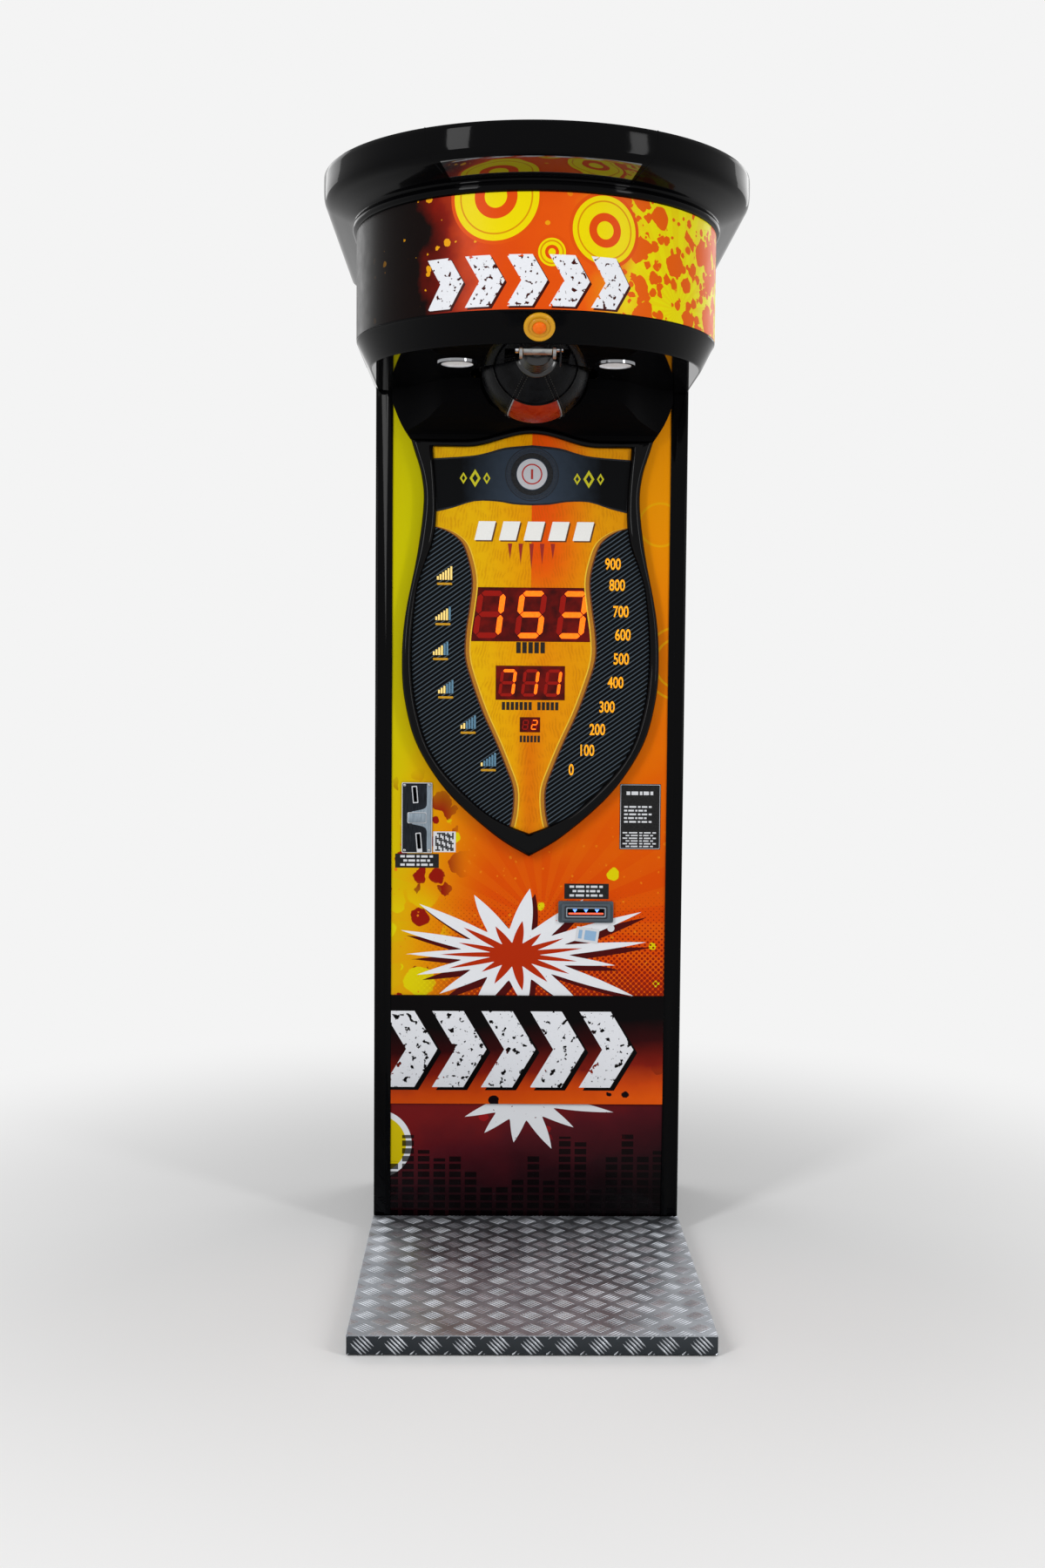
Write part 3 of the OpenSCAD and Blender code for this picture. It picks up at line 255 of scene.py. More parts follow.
def tilt_outline(outline, angle, x, z):
    """An outline turned about a point."""
    c, s = math.cos(math.radians(angle)), math.sin(math.radians(angle))
    return [(x + (px - x) * c - (pz - z) * s, z + (px - x) * s + (pz - z) * c)
            for px, pz in outline]


# Materials

def add(tree, kind, sockets=None, out=0, stops=None, **settings):
    """Adds a node with its settings, constants and links, and returns one output."""
    node = tree.nodes.new("ShaderNode" + kind)
    for key, value in settings.items():
        setattr(node, key, value)
    for key, value in (sockets or {}).items():
        if isinstance(value, Value):
            value = value.socket
        if isinstance(value, bpy.types.NodeSocket):
            tree.links.new(value, node.inputs[key])
        else:
            node.inputs[key].default_value = value
    if stops:
        elements = node.color_ramp.elements
        while len(elements) < len(stops):
            elements.new(1.0)
        for element, (place, code) in zip(elements, stops):
            element.position = place
            element.color = linear(code)
    return node.outputs[out] if node.outputs else None


def new_material(name):
    """An empty material of that name, with its node tree."""
    made = bpy.data.materials.new(name)
    made.use_nodes = True
    made.node_tree.nodes.clear()
    return made, made.node_tree


def close(made, **sockets):
    """Ends a material in a Principled shader; a socket's name has _ for its spaces."""
    named = {"IOR" if key == "ior" else key.replace("_", " "): value
             for key, value in sockets.items()}
    shader = add(made.node_tree, "BsdfPrincipled", named)
    add(made.node_tree, "OutputMaterial", {"Surface": shader})
    return made


def grain(tree, size, depth, detail=2.0, stretch=(1, 1, 1)):
    """Height of a fine uneven grain of a real size, as a bumped normal and its noise."""
    place = add(tree, "TexCoord", out="Object")
    scaled = add(tree, "Mapping", {"Vector": place, "Scale": stretch})
    noise = add(tree, "TexNoise", {"Vector": scaled, "Scale": 1 / size, "Detail": detail})
    normal = add(tree, "Bump", {"Height": noise, "Distance": depth, "Strength": 1.0})
    return normal, noise


def between(tree, factor, start, end):
    """A value that runs from start to end as factor runs over a noise's usual range."""
    return add(tree, "MapRange", {0: factor, 1: 0.3, 2: 0.7, 3: start, 4: end})


def gloss_black(name, shine):
    """High-gloss black ABS, vacuum formed: deep and clean, with a faint orange peel."""
    made, tree = new_material(name)
    normal = grain(tree, 9 * MM, 0.015 * MM)[0]
    smudge = add(tree, "TexNoise", {"Vector": add(tree, "TexCoord", out="Object"),
                                    "Scale": 7.0, "Detail": 5.0})
    return close(made, Base_Color=linear("#030304"), Normal=normal,
                 Roughness=between(tree, smudge, 0.04, 0.1), Specular_IOR_Level=shine)


def mirror_black(name, ior):
    """Black acrylic sheet with a polished face, as a dark mirror at low angles."""
    made, tree = new_material(name)
    normal, noise = grain(tree, 60 * MM, 0.04 * MM)
    return close(made, Base_Color=linear("#030304"), Normal=normal, ior=ior,
                 Roughness=between(tree, noise, 0.01, 0.04), Specular_IOR_Level=0.8)


def satin_laminate():
    """Black melamine film over board: satin, with a fine pebble that breaks the light."""
    made, tree = new_material("black_melamine_board")
    normal, noise = grain(tree, 1.6 * MM, 0.12 * MM)
    return close(made, Base_Color=linear("#111113"), Normal=normal,
                 Roughness=between(tree, noise, 0.38, 0.52), Specular_IOR_Level=0.2)


def powder_coat():
    """Black powder coat on steel: a soft sheen over a leathery skin."""
    made, tree = new_material("black_powder_coat")
    normal, noise = grain(tree, 2.2 * MM, 0.1 * MM)
    return close(made, Base_Color=linear("#151618"), Normal=normal,
                 Roughness=between(tree, noise, 0.42, 0.6), Specular_IOR_Level=0.25)


def tread_aluminium(name, dull, tone, rough, lip=None):
    """Rolled aluminium tread: bright metal with rolling lines and scuffs, and lips darkened with
    painted shade.
    """
    made, tree = new_material(name)
    normal, lines = grain(tree, 2.5 * MM, 0.03 * MM, 3.0, (0.08, 1, 1))
    place = add(tree, "TexCoord", out="Object")
    wear = add(tree, "TexNoise", {"Vector": place, "Scale": 14.0, "Detail": 6.0})
    shade = add(tree, "ValToRGB", {0: wear}, stops=[(0.3, dull), (0.7, tone)])
    # Painted shade: what lies more than 1.5 mm below the plate's top takes the darker lip colour
    if lip:
        rise = add(tree, "SeparateXYZ", {0: place}, out="Z")
        top = high("tread_plate").z
        edge = add(tree, "MapRange", {0: rise, 1: top - 1.5 * MM, 2: top - 2.5 * MM})
        shade = add(tree, "Mix", {0: edge, 6: shade, 7: linear(lip)}, out=2,
                    data_type="RGBA")
    both = add(tree, "Math", {0: lines, 1: wear}, operation="MULTIPLY")
    return close(made, Base_Color=shade, Metallic=1.0, Normal=normal,
                 Roughness=add(tree, "MapRange", {0: both, 1: 0.1, 2: 0.45, 3: rough,
                                                  4: rough + 0.15}))


def foot_rubber():
    """Moulded rubber: nearly black, dull, dusty on its high places."""
    made, tree = new_material("moulded_rubber")
    normal, noise = grain(tree, 3 * MM, 0.15 * MM)
    shade = add(tree, "ValToRGB", {0: noise}, stops=[(0.35, "#141415"), (0.75, "#2A2A2B")])
    return close(made, Base_Color=shade, Normal=normal, Specular_IOR_Level=0.25,
                 Roughness=between(tree, noise, 0.7, 0.9))


def bellows_rubber():
    """Smooth moulded rubber of the ball's neck: black, with a wet-looking polish."""
    made, tree = new_material("polished_rubber")
    normal, noise = grain(tree, 14 * MM, 0.25 * MM, 4.0)
    return close(made, Base_Color=linear("#08080A"), Normal=normal, Specular_IOR_Level=0.6,
                 Roughness=between(tree, noise, 0.1, 0.22))


def zinc_steel():
    """Zinc-plated steel: grey metal with cloudy spangle and a slight yellow cast."""
    made, tree = new_material("zinc_plated_steel")
    place = add(tree, "TexCoord", out="Object")
    spangle = add(tree, "TexVoronoi", {"Vector": place, "Scale": 1 / (14 * MM)}, out="Color")
    tone = add(tree, "SeparateColor", {0: spangle})
    shade = add(tree, "ValToRGB", {0: tone}, stops=[(0.0, "#9A9C9E"), (1.0, "#B9BAB6")])
    normal = grain(tree, 4 * MM, 0.03 * MM)[0]
    return close(made, Base_Color=shade, Metallic=1.0, Normal=normal,
                 Roughness=add(tree, "MapRange", {0: tone, 3: 0.28, 4: 0.44}))


def bright_chrome():
    """Bright chrome plating: a clear mirror with faint polishing haze."""
    made, tree = new_material("bright_chrome")
    normal, noise = grain(tree, 6 * MM, 0.008 * MM)
    return close(made, Base_Color=linear("#D6D8DC"), Metallic=1.0, Normal=normal,
                 Roughness=between(tree, noise, 0.06, 0.14))


def brushed_dark():
    """Brushed dark steel of the coin plate: long fine lines down its length."""
    made, tree = new_material("brushed_dark_steel")
    normal, lines = grain(tree, 0.9 * MM, 0.05 * MM, 2.0, (1, 1, 0.04))
    shade = add(tree, "ValToRGB", {0: lines}, stops=[(0.3, "#17181B"), (0.7, "#2C3036")])
    return close(made, Base_Color=shade, Metallic=1.0, Roughness=0.35, Normal=normal)


def brushed_bright():
    """Brushed aluminium of the coin plate's raised band, with a bluish cast."""
    made, tree = new_material("brushed_aluminium")
    normal, lines = grain(tree, 0.7 * MM, 0.05 * MM, 2.0, (1, 1, 0.04))
    shade = add(tree, "ValToRGB", {0: lines}, stops=[(0.3, "#6E7B86"), (0.7, "#9AA6B0")])
    return close(made, Base_Color=shade, Metallic=1.0, Roughness=0.38, Normal=normal)


def raw_board():
    """Raw particle board: mottled chips with a dry, rough face."""
    made, tree = new_material("particle_board")
    place = add(tree, "TexCoord", out="Object")
    chips = add(tree, "TexVoronoi", {"Vector": place, "Scale": 1 / (5 * MM)}, out="Color")
    shade = add(tree, "ValToRGB", {0: add(tree, "SeparateColor", {0: chips})},
                stops=[(0.0, "#7A6142"), (0.5, "#9A8059"), (1.0, "#B99C70")])
    normal = grain(tree, 3 * MM, 0.3 * MM)[0]
    return close(made, Base_Color=shade, Normal=normal, Roughness=0.85)


def frosted_lamp(name, code, glow):
    """Opal polycarbonate over a lamp: an even white that glows a little."""
    made, tree = new_material(name)
    normal, noise = grain(tree, 1.5 * MM, 0.02 * MM)
    shade = add(tree, "ValToRGB", {0: noise}, stops=[(0.3, code), (0.7, "#FFFFFF")])
    return close(made, Base_Color=shade, Normal=normal, Roughness=0.35,
                 Emission_Color=shade, Emission_Strength=glow)


def sintered_bronze():
    """Oil-filled sintered bronze: warm, matt and slightly porous."""
    made, tree = new_material("sintered_bronze")
    normal, noise = grain(tree, 0.8 * MM, 0.04 * MM)
    return close(made, Base_Color=linear("#A5803F"), Metallic=1.0, Normal=normal,
                 Roughness=between(tree, noise, 0.35, 0.5))


def moulded(name, code, rough=0.45, shine=0.25):
    """Moulded ABS with a fine spark-eroded texture."""
    made, tree = new_material(name)
    normal, noise = grain(tree, 1.1 * MM, 0.05 * MM)
    dark = add(tree, "Mix", {0: noise, 6: linear(code), 7: linear("#000000")}, out=2,
               data_type="RGBA", clamp_factor=True)
    shade = add(tree, "Mix", {0: 0.25, 6: linear(code), 7: dark}, out=2, data_type="RGBA")
    return close(made, Base_Color=shade, Normal=normal, Specular_IOR_Level=shine,
                 Roughness=between(tree, noise, rough, rough + 0.12))


def circuit_green():
    """Solder mask over copper: green with a fine net of lighter tracks."""
    made, tree = new_material("circuit_board_mask")
    place = add(tree, "TexCoord", out="Object")
    tracks = add(tree, "TexBrick", {"Vector": place, "Scale": 60.0, "Mortar Size": 0.03,
                                    "Color1": linear("#0F4A26"), "Color2": linear("#145A30"),
                                    "Mortar": linear("#3F9A5C")})
    return close(made, Base_Color=tracks, Roughness=0.35, Specular_IOR_Level=0.3)


def leather(name, code, worn, shine=0.07):
    """Drum-dyed cowhide: pebbled grain, soft sheen, paler where the bag is hit."""
    made, tree = new_material(name)
    place = add(tree, "TexCoord", out="Object")
    # The hide's pebbles are about 1 mm; they are drawn at 2.4 mm so that they show
    pebbles = add(tree, "TexVoronoi", {"Vector": place, "Scale": 1 / (2.4 * MM)},
                  feature="DISTANCE_TO_EDGE")
    creases = add(tree, "TexNoise", {"Vector": place, "Scale": 1 / (22 * MM), "Detail": 5.0,
                                     "Distortion": 0.6})
    fine = add(tree, "Bump", {"Height": pebbles, "Distance": 0.35 * MM, "Strength": 0.7})
    normal = add(tree, "Bump", {"Height": creases, "Distance": 1.6 * MM, "Normal": fine,
                                "Strength": 0.5})
    shade = add(tree, "ValToRGB", {0: creases}, stops=[(0.35, code), (0.8, worn)])
    return close(made, Base_Color=shade, Normal=normal, Specular_IOR_Level=shine,
                 Roughness=between(tree, creases, 0.2, 0.36))


def glowing(name, code, strength, hot="#FFC27A"):
    """A lit segment or lamp behind a clear lens, with paler patches of a hot colour."""
    made, tree = new_material(name)
    normal, noise = grain(tree, 5 * MM, 0.01 * MM)
    shade = add(tree, "Mix", {0: add(tree, "MapRange", {0: noise, 3: 0.0, 4: 0.35}),
                              6: linear(code), 7: linear(hot)}, out=2,
                data_type="RGBA")
    return close(made, Base_Color=shade, Roughness=0.3, Normal=normal, Emission_Color=shade,
                 Emission_Strength=strength, Specular_IOR_Level=0.1)


def ink(name, code, rough=0.25):
    """Screen-printed ink on film: an even colour with slight mottling under the gloss."""
    made, tree = new_material(name)
    normal, noise = grain(tree, 3 * MM, 0.01 * MM)
    shade = add(tree, "Mix", {0: add(tree, "MapRange", {0: noise, 3: 0.0, 4: 0.12}),
                              6: linear(code), 7: linear("#808080")}, out=2,
                data_type="RGBA")
    return close(made, Base_Color=shade, Roughness=rough, Normal=normal,
                 Specular_IOR_Level=0.1)


def display_lens():
    """Red-tinted acrylic over the digits: nearly black, with a warm painted glow over its whole
    face for the digits' light.
    """
    made, tree = new_material("red_display_lens")
    normal, noise = grain(tree, 25 * MM, 0.01 * MM)
    shade = add(tree, "ValToRGB", {0: noise}, stops=[(0.3, "#2C0202"), (0.7, "#560603")])
    return close(made, Base_Color=shade, Roughness=0.12, Normal=normal,
                 Specular_IOR_Level=0.1, Emission_Color=shade, Emission_Strength=0.6)


def carbon_film():
    """Printed carbon-weave film: near black with thin pale diagonal lines."""
    made, tree = new_material("carbon_weave_film")
    place = add(tree, "TexCoord", out="Object")
    along = add(tree, "Mapping", {"Vector": place, "Rotation": (0, math.radians(35), 0)})
    part = add(tree, "SeparateXYZ", {0: along}, out="Z")
    # The film's lines are about 5.5 mm apart; they are drawn 8.5 mm apart so that they show
    wave = add(tree, "Math", {0: part, 1: 8.5 * MM, 2: 0.0}, operation="WRAP")
    line = add(tree, "MapRange", {0: wave, 1: 1.4 * MM, 2: 2.8 * MM, 3: 1.0, 4: 0.0})
    shade = add(tree, "Mix", {0: line, 6: linear("#040506"), 7: linear("#4A5660")}, out=2,
                data_type="RGBA")
    return close(made, Base_Color=shade, Roughness=0.3, Specular_IOR_Level=0.05)


def slate_print():
    """Slate-blue film that darkens to black at both ends."""
    made, tree = new_material("slate_print")
    place = add(tree, "TexCoord", out="Object")
    reach = add(tree, "Math", {0: add(tree, "SeparateXYZ", {0: place}, out="X")},
                operation="ABSOLUTE")
    mottle = add(tree, "TexNoise", {"Vector": place, "Scale": 60.0, "Detail": 4.0})
    reach = add(tree, "Math", {0: mottle, 1: 0.03, 2: reach}, operation="MULTIPLY_ADD")
    shade = add(tree, "ValToRGB", {0: reach}, stops=[(0.02, "#343F4E"), (0.09, "#2B343F"),
                                                     (0.17, "#08090B")])
    return close(made, Base_Color=shade, Roughness=0.25, Specular_IOR_Level=0.05)


class Value:
    """A number that varies over a print: sums on it add the nodes that work them out."""

    def __init__(self, tree, kind, sockets=None, out=0, **settings):
        self.tree = tree
        self.socket = add(tree, kind, sockets, out, **settings)

    def work(self, operation, second=0.0, third=0.0):
        """One sum on this value, named as Blender names it."""
        return Value(self.tree, "Math", {0: self, 1: second, 2: third}, operation=operation)

    def __add__(self, other):
        return self.work("ADD", other)

    def __sub__(self, other):
        return self.work("SUBTRACT", other)

    def __rsub__(self, other):
        return self.work("MULTIPLY_ADD", -1.0, other)

    def __mul__(self, other):
        return self.work("MULTIPLY", other)


class Art:
    """Masks of a print, drawn on two coordinates in metres across and up it."""

    def __init__(self, tree, place, axes):
        self.tree = tree
        self.across, self.up = (self.add("SeparateXYZ", {0: place}, axis) for axis in axes)
        self.flat = self.add("CombineXYZ", {0: self.across, 1: self.up})

    def add(self, kind, sockets, out=0, **settings):
        """Adds a node and returns one output as a value."""
        return Value(self.tree, kind, sockets, out, **settings)

    def fade(self, value, start, end):
        """A mask that is 0 up to start and 1 from end."""
        return self.add("MapRange", {0: value, 1: start, 2: end},
                        interpolation_type="SMOOTHSTEP")

    def within(self, value, start, end, soft=0.4 * MM):
        """A mask that is 1 between two values."""
        return self.fade(value, start, start + soft) * self.fade(value, end + soft, end)

    def away(self, x, z):
        """Distance from a point."""
        return self.add("VectorMath", {0: self.flat, 1: (x, z, 0)}, "Value",
                        operation="DISTANCE")

    def disc(self, x, z, radius):
        """A filled circle."""
        return self.fade(self.away(x, z), radius + 0.5 * MM, radius)

    def ring(self, x, z, radius, width):
        """A circle's line."""
        return self.within(self.away(x, z), radius - width, radius)

    def noise(self, size, detail=3.0, seed=0.0):
        """Uneven noise of a real size."""
        return self.add("TexNoise", {"Vector": self.flat, "W": seed, "Scale": 1 / size,
                                     "Detail": detail}, noise_dimensions="4D")

    def splatter(self, size, fill, seed=0.0):
        """Thrown dots and blots of uneven size about that far apart."""
        drift = self.add("TexNoise", {"Vector": self.flat, "Scale": 2.5 / size}, "Color")
        drift = self.add("VectorMath", {0: drift, "Scale": 0.3 * size}, operation="SCALE")
        bent = self.add("VectorMath", {0: self.flat, 1: drift}, operation="ADD")
        gap = self.add("TexVoronoi", {"Vector": bent, "Scale": 1 / size, "W": seed},
                       "Distance", voronoi_dimensions="4D")
        chance = self.add("SeparateColor", {0: gap.socket.node.outputs["Color"]})
        return self.fade(chance.work("POWER", 1.6) * fill - gap, 0.0, 0.03)

    def dots(self, pitch, radius):
        """A halftone of dots on a lattice turned by 45 degrees."""
        turned_flat = self.add("Mapping", {"Vector": self.flat,
                                           "Rotation": (0, 0, math.radians(45))})
        cell = self.add("VectorMath", {0: turned_flat, 1: (pitch, pitch, 1.0),
                                       2: (0, 0, -0.5)}, operation="WRAP")
        gap = self.add("VectorMath", {0: cell, 1: (pitch / 2, pitch / 2, 0)}, "Value",
                       operation="DISTANCE")
        return self.fade(radius - gap, 0.0, 0.3 * MM)

    def rays(self, x, z, count):
        """Alternate rays from a point."""
        turn = (self.up - z).work("ARCTAN2", self.across - x)
        share = turn * (0.5 / math.pi) + 0.5
        return self.fade((share * count).work("FRACT"), 0.48, 0.52)

    def burst(self, x, z, wide, inner, outer, count, seed=0.0):
        """A spiked burst: wide stretches it across, and its spikes vary in length."""
        moved = self.add("VectorMath", {0: self.flat, 1: (x, z, 0)}, operation="SUBTRACT")
        moved = self.add("VectorMath", {0: moved, 1: (1 / wide, 1, 1)}, operation="MULTIPLY")
        gap = self.add("VectorMath", {0: moved}, "Value", operation="LENGTH")
        run, rise = (self.add("SeparateXYZ", {0: moved}, axis) for axis in "XY")
        turn = rise.work("ARCTAN2", run) * (count * 0.5 / math.pi)
        spike = turn.work("PINGPONG", 0.5) * 2.0
        chance = self.add("TexWhiteNoise", {"W": (turn + 0.5).work("ROUND") + seed},
                          noise_dimensions="1D")
        reach = chance * ((outer - inner) * 0.55) + (outer - inner) * 0.45
        edge = spike.work("POWER", 1.5) * reach + inner
        return self.fade(edge - gap, 0.0, 0.6 * MM)

    def chevrons(self, x, z, pitch, width, height, lean=0.6, count=5):
        """A row of arrowheads pointing right, from x on, with their middle at z."""
        rise = (self.up - z).work("ABSOLUTE")
        bent = rise * lean + (self.across - x)
        row = self.within(bent, 0.0, pitch * count)
        bar = self.within(bent.work("WRAP", pitch), 0.5 * MM, width)
        return row * bar * self.fade(rise, height / 2, height / 2 - 0.4 * MM)

    def worn(self, mask, size, amount, seed=0.0):
        """A mask with bits rubbed off it."""
        return mask * self.fade(self.noise(size, 6.0, seed), amount, amount + 0.02)

    def over(self, under, mask, code):
        """A colour laid over another through a mask."""
        return self.add("Mix", {0: mask, 6: under, 7: linear(code)}, 2, data_type="RGBA")


def art_on(name, mapped=False):
    """A new material with its Art on Object coordinates, or on the piece's own UV map."""
    made, tree = new_material(name)
    if mapped:
        return made, tree, Art(tree, add(tree, "UVMap", uv_map="wrap"), "XY")
    return made, tree, Art(tree, add(tree, "TexCoord", out="Object"), "XZ")


def print_gloss(made, tree, shade, node=None, rough=0.14, glow=0.0):
    """Ends a print: ink under a gloss film that ripples slightly; a node's back stays bare."""
    normal, noise = grain(tree, 30 * MM, 0.04 * MM)
    if node:
        depth = add(tree, "SeparateXYZ", {0: add(tree, "TexCoord", out="Object")}, out="Y")
        front = low(node).y
        behind = add(tree, "MapRange", {0: depth, 1: front + 1 * MM, 2: front + 1.5 * MM})
        shade = add(tree, "Mix", {0: behind, 6: shade, 7: linear("#2E2721")}, out=2,
                    data_type="RGBA")
    return close(made, Base_Color=shade, Normal=normal, Specular_IOR_Level=0.05,
                 Roughness=between(tree, noise, rough, rough + 0.08),
                 Emission_Color=shade, Emission_Strength=glow)


def upper_print():
    """Digital print on vinyl under gloss film: yellow to orange, with rays and a burst."""
    made, tree, art = art_on("upper_panel_print")
    slide = (1.2 - art.up) * 0.16 + (art.noise(160 * MM) * 0.1 + art.across)
    shade = art.add("ValToRGB", {0: slide * 1.5 + 0.42}, stops=[
        (0.0, "#C6BE02"), (0.1, "#D0B802"), (0.26, "#E09A02"), (0.46, "#E47A02"),
        (0.8, "#E47A02"), (1.0, "#E47602")])
    glow = art.fade(art.across, 0.1, 0.26) * art.fade(art.up, 1.3, 1.7)
    shade = art.over(shade, glow, "#EA9202")
    low_down = art.fade(art.noise(120 * MM) * 0.3 + art.up, 1.45, 0.9)
    right = art.fade(art.across, -0.28, -0.06)
    shade = art.over(shade, low_down * right, "#D84A02")
    rays = art.rays(0.03, 0.72, 22) * art.fade(art.up, 1.1, 0.75)
    shade = art.over(shade, rays * 0.14, "#E8820C")
    side = art.fade(art.across, 0.2, 0.24) * art.fade(art.up, 1.0, 1.2)
    for x, z, radius in ((0.34, 1.31, 0.085), (0.34, 1.31, 0.06), (0.29, 1.62, 0.05)):
        shade = art.over(shade, art.ring(x, z, radius, 5 * MM) * side, "#E8A406")
    corner = art.fade(art.up, 1.08, 0.96) * art.fade(art.across, -0.13, -0.2)
    shade = art.over(shade, art.splatter(46 * MM, 0.95) * corner, "#8E1608")
    corner = art.fade(art.up, 0.82, 0.7) * art.fade(art.across, -0.16, -0.24)
    shade = art.over(shade, art.splatter(70 * MM, 1.1, 4.0) * corner, "#DCCB06")
    specks = art.splatter(13 * MM, 0.34, 2.0) * art.fade(art.up, 1.0, 0.85)
    shade = art.over(shade, specks, "#E07A10")
    crumbs = art.splatter(52 * MM, 0.42, 3.0) * art.fade(art.up, 1.02, 0.9)
    shade = art.over(shade, crumbs, "#DCCB06")
    radius = art.add("MapRange", {0: art.up, 1: 0.56, 2: 0.82, 3: 4.6 * MM, 4: 0.0})
    shade = art.over(shade, art.dots(9 * MM, radius) * right, "#8E1E08")
    shadow = art.burst(-0.018, 0.632, 2.1, 0.06, 0.175, 15, 4.0)
    shade = art.over(shade, shadow, "#4A0C0C")
    white = art.worn(art.burst(-0.03, 0.644, 2.1, 0.06, 0.175, 15, 4.0), 10 * MM, 0.3)
    shade = art.over(shade, white, "#E4E6EA")
    heart = art.burst(-0.03, 0.644, 2.1, 0.028, 0.085, 15, 9.0)
    shade = art.over(shade, heart, "#B02C08")
    return print_gloss(made, tree, shade, "front_panel_upper")


def strip_print():
    """The same film on the dark strip: black to ember, with worn white arrowheads."""
    made, tree, art = art_on("strip_print")
    slide = art.across * 0.2 + (art.noise(60 * MM) * 0.12 + (0.55 - art.up) * 3.7)
    shade = art.add("ValToRGB", {0: slide}, stops=[
        (0.3, "#050304"), (0.5, "#2E0608"), (0.7, "#7A1A0E"), (0.86, "#C8440C"),
        (0.98, "#DE560C")])
    blots = art.splatter(34 * MM, 0.5, 7.0) * art.fade(art.up, 0.4, 0.33)
    shade = art.over(shade, blots, "#12060A")
    dark = art.chevrons(-0.268, 0.42, 0.112, 0.072, 0.176)
    shade = art.over(shade, dark, "#050303")
    white = art.worn(art.chevrons(-0.277, 0.427, 0.112, 0.072, 0.176), 16 * MM, 0.4, 2.0)
    shade = art.over(shade, art.worn(white, 5 * MM, 0.33, 5.0), "#DFE1E6")
    return print_gloss(made, tree, shade, "front_panel_strip")


def lower_print():
    """The same film on the lower panel: maroon, with a disc, a burst and dark level bars."""
    made, tree, art = art_on("lower_panel_print")
    slide = art.across * -0.5 + (art.noise(140 * MM) * 0.4 + art.up * 2.6)
    shade = art.add("ValToRGB", {0: slide}, stops=[
        (0.3, "#0A0406"), (0.55, "#240A10"), (0.8, "#481018"), (1.0, "#6A1416")])
    shade = art.over(shade, art.disc(-0.342, 0.205, 0.079), "#DADCE0")
    shade = art.over(shade, art.disc(-0.342, 0.205, 0.066), "#C9B406")
    flecks = art.splatter(30 * MM, 0.5, 11.0) * art.fade(art.up, 0.2, 0.26)
    shade = art.over(shade, flecks, "#8A1418")
    pitch = 36 * MM
    which = art.across.work("DIVIDE", pitch).work("FLOOR")
    chance = art.add("TexWhiteNoise", {"W": which}, noise_dimensions="1D")
    column = art.within(art.across.work("WRAP", pitch), 3 * MM, 30 * MM)
    rung = art.within(art.up.work("WRAP", 18 * MM), 2 * MM, 15 * MM)
    bars = column * rung * art.fade(chance * 0.14 + 0.1 - art.up, 0.0, 1 * MM)
    shade = art.over(shade, bars * 0.9, "#040203")
    white = art.worn(art.burst(-0.01, 0.315, 1.5, 0.055, 0.15, 13, 2.0), 9 * MM, 0.32)
    shade = art.over(shade, white, "#D6D8DC")
    return print_gloss(made, tree, shade, "front_panel_lower")


def band_print():
    """Backlit print wrapped round the head: black, red, orange and yellow with rings."""
    made, tree, art = art_on("lit_band_print", mapped=True)
    slide = (art.noise(110 * MM, 4.0, 5.0) * 0.2 + art.across) * 1.15 + 0.37
    shade = art.add("ValToRGB", {0: slide}, stops=[
        (0.0, "#030202"), (0.2, "#0C0302"), (0.27, "#7A1406"), (0.36, "#CE420A"),
        (0.58, "#DE560C"), (0.66, "#E07C0C"), (0.72, "#DED006"), (1.0, "#E0D804")])
    sun = art.rays(0.30, 1.99, 26) * art.fade(art.across, 0.1, 0.3)
    shade = art.over(shade, sun * 0.2, "#DCA006")
    right = art.fade(art.across, 0.1, 0.16)
    for size, fill, seed in ((44 * MM, 1.0, 1.0), (17 * MM, 0.85, 4.0)):
        shade = art.over(shade, art.splatter(size, fill, seed) * right, "#DA5A0A")
    left = art.fade(art.across, 0.1, 0.0) * art.fade(art.across, -0.4, -0.2)
    shade = art.over(shade, art.splatter(20 * MM, 0.4, 8.0) * left, "#E09A10")
    for x, z, radius in ((-0.085, 2.176, 0.082), (0.125, 2.118, 0.064), (0.022, 2.072, 0.026)):
        shade = art.over(shade, art.disc(x, z, radius + 7 * MM), "#D64E0A")
        shade = art.over(shade, art.disc(x, z, radius), "#E2CE04")
        shade = art.over(shade, art.ring(x, z, radius * 0.86, 3 * MM), "#D08C06")
        shade = art.over(shade, art.disc(x, z, radius * 0.5), "#D6480A")
        shade = art.over(shade, art.disc(x, z, radius * 0.26), "#E2CE04")
    dark = art.chevrons(-0.194, 2.016, 0.081, 0.05, 0.096)
    shade = art.over(shade, dark, "#3A0E08")
    white = art.worn(art.chevrons(-0.198, 2.02, 0.081, 0.05, 0.096), 10 * MM, 0.4, 6.0)
    shade = art.over(shade, white, "#DFE1E6")
    return print_gloss(made, tree, shade, rough=0.3, glow=0.05)


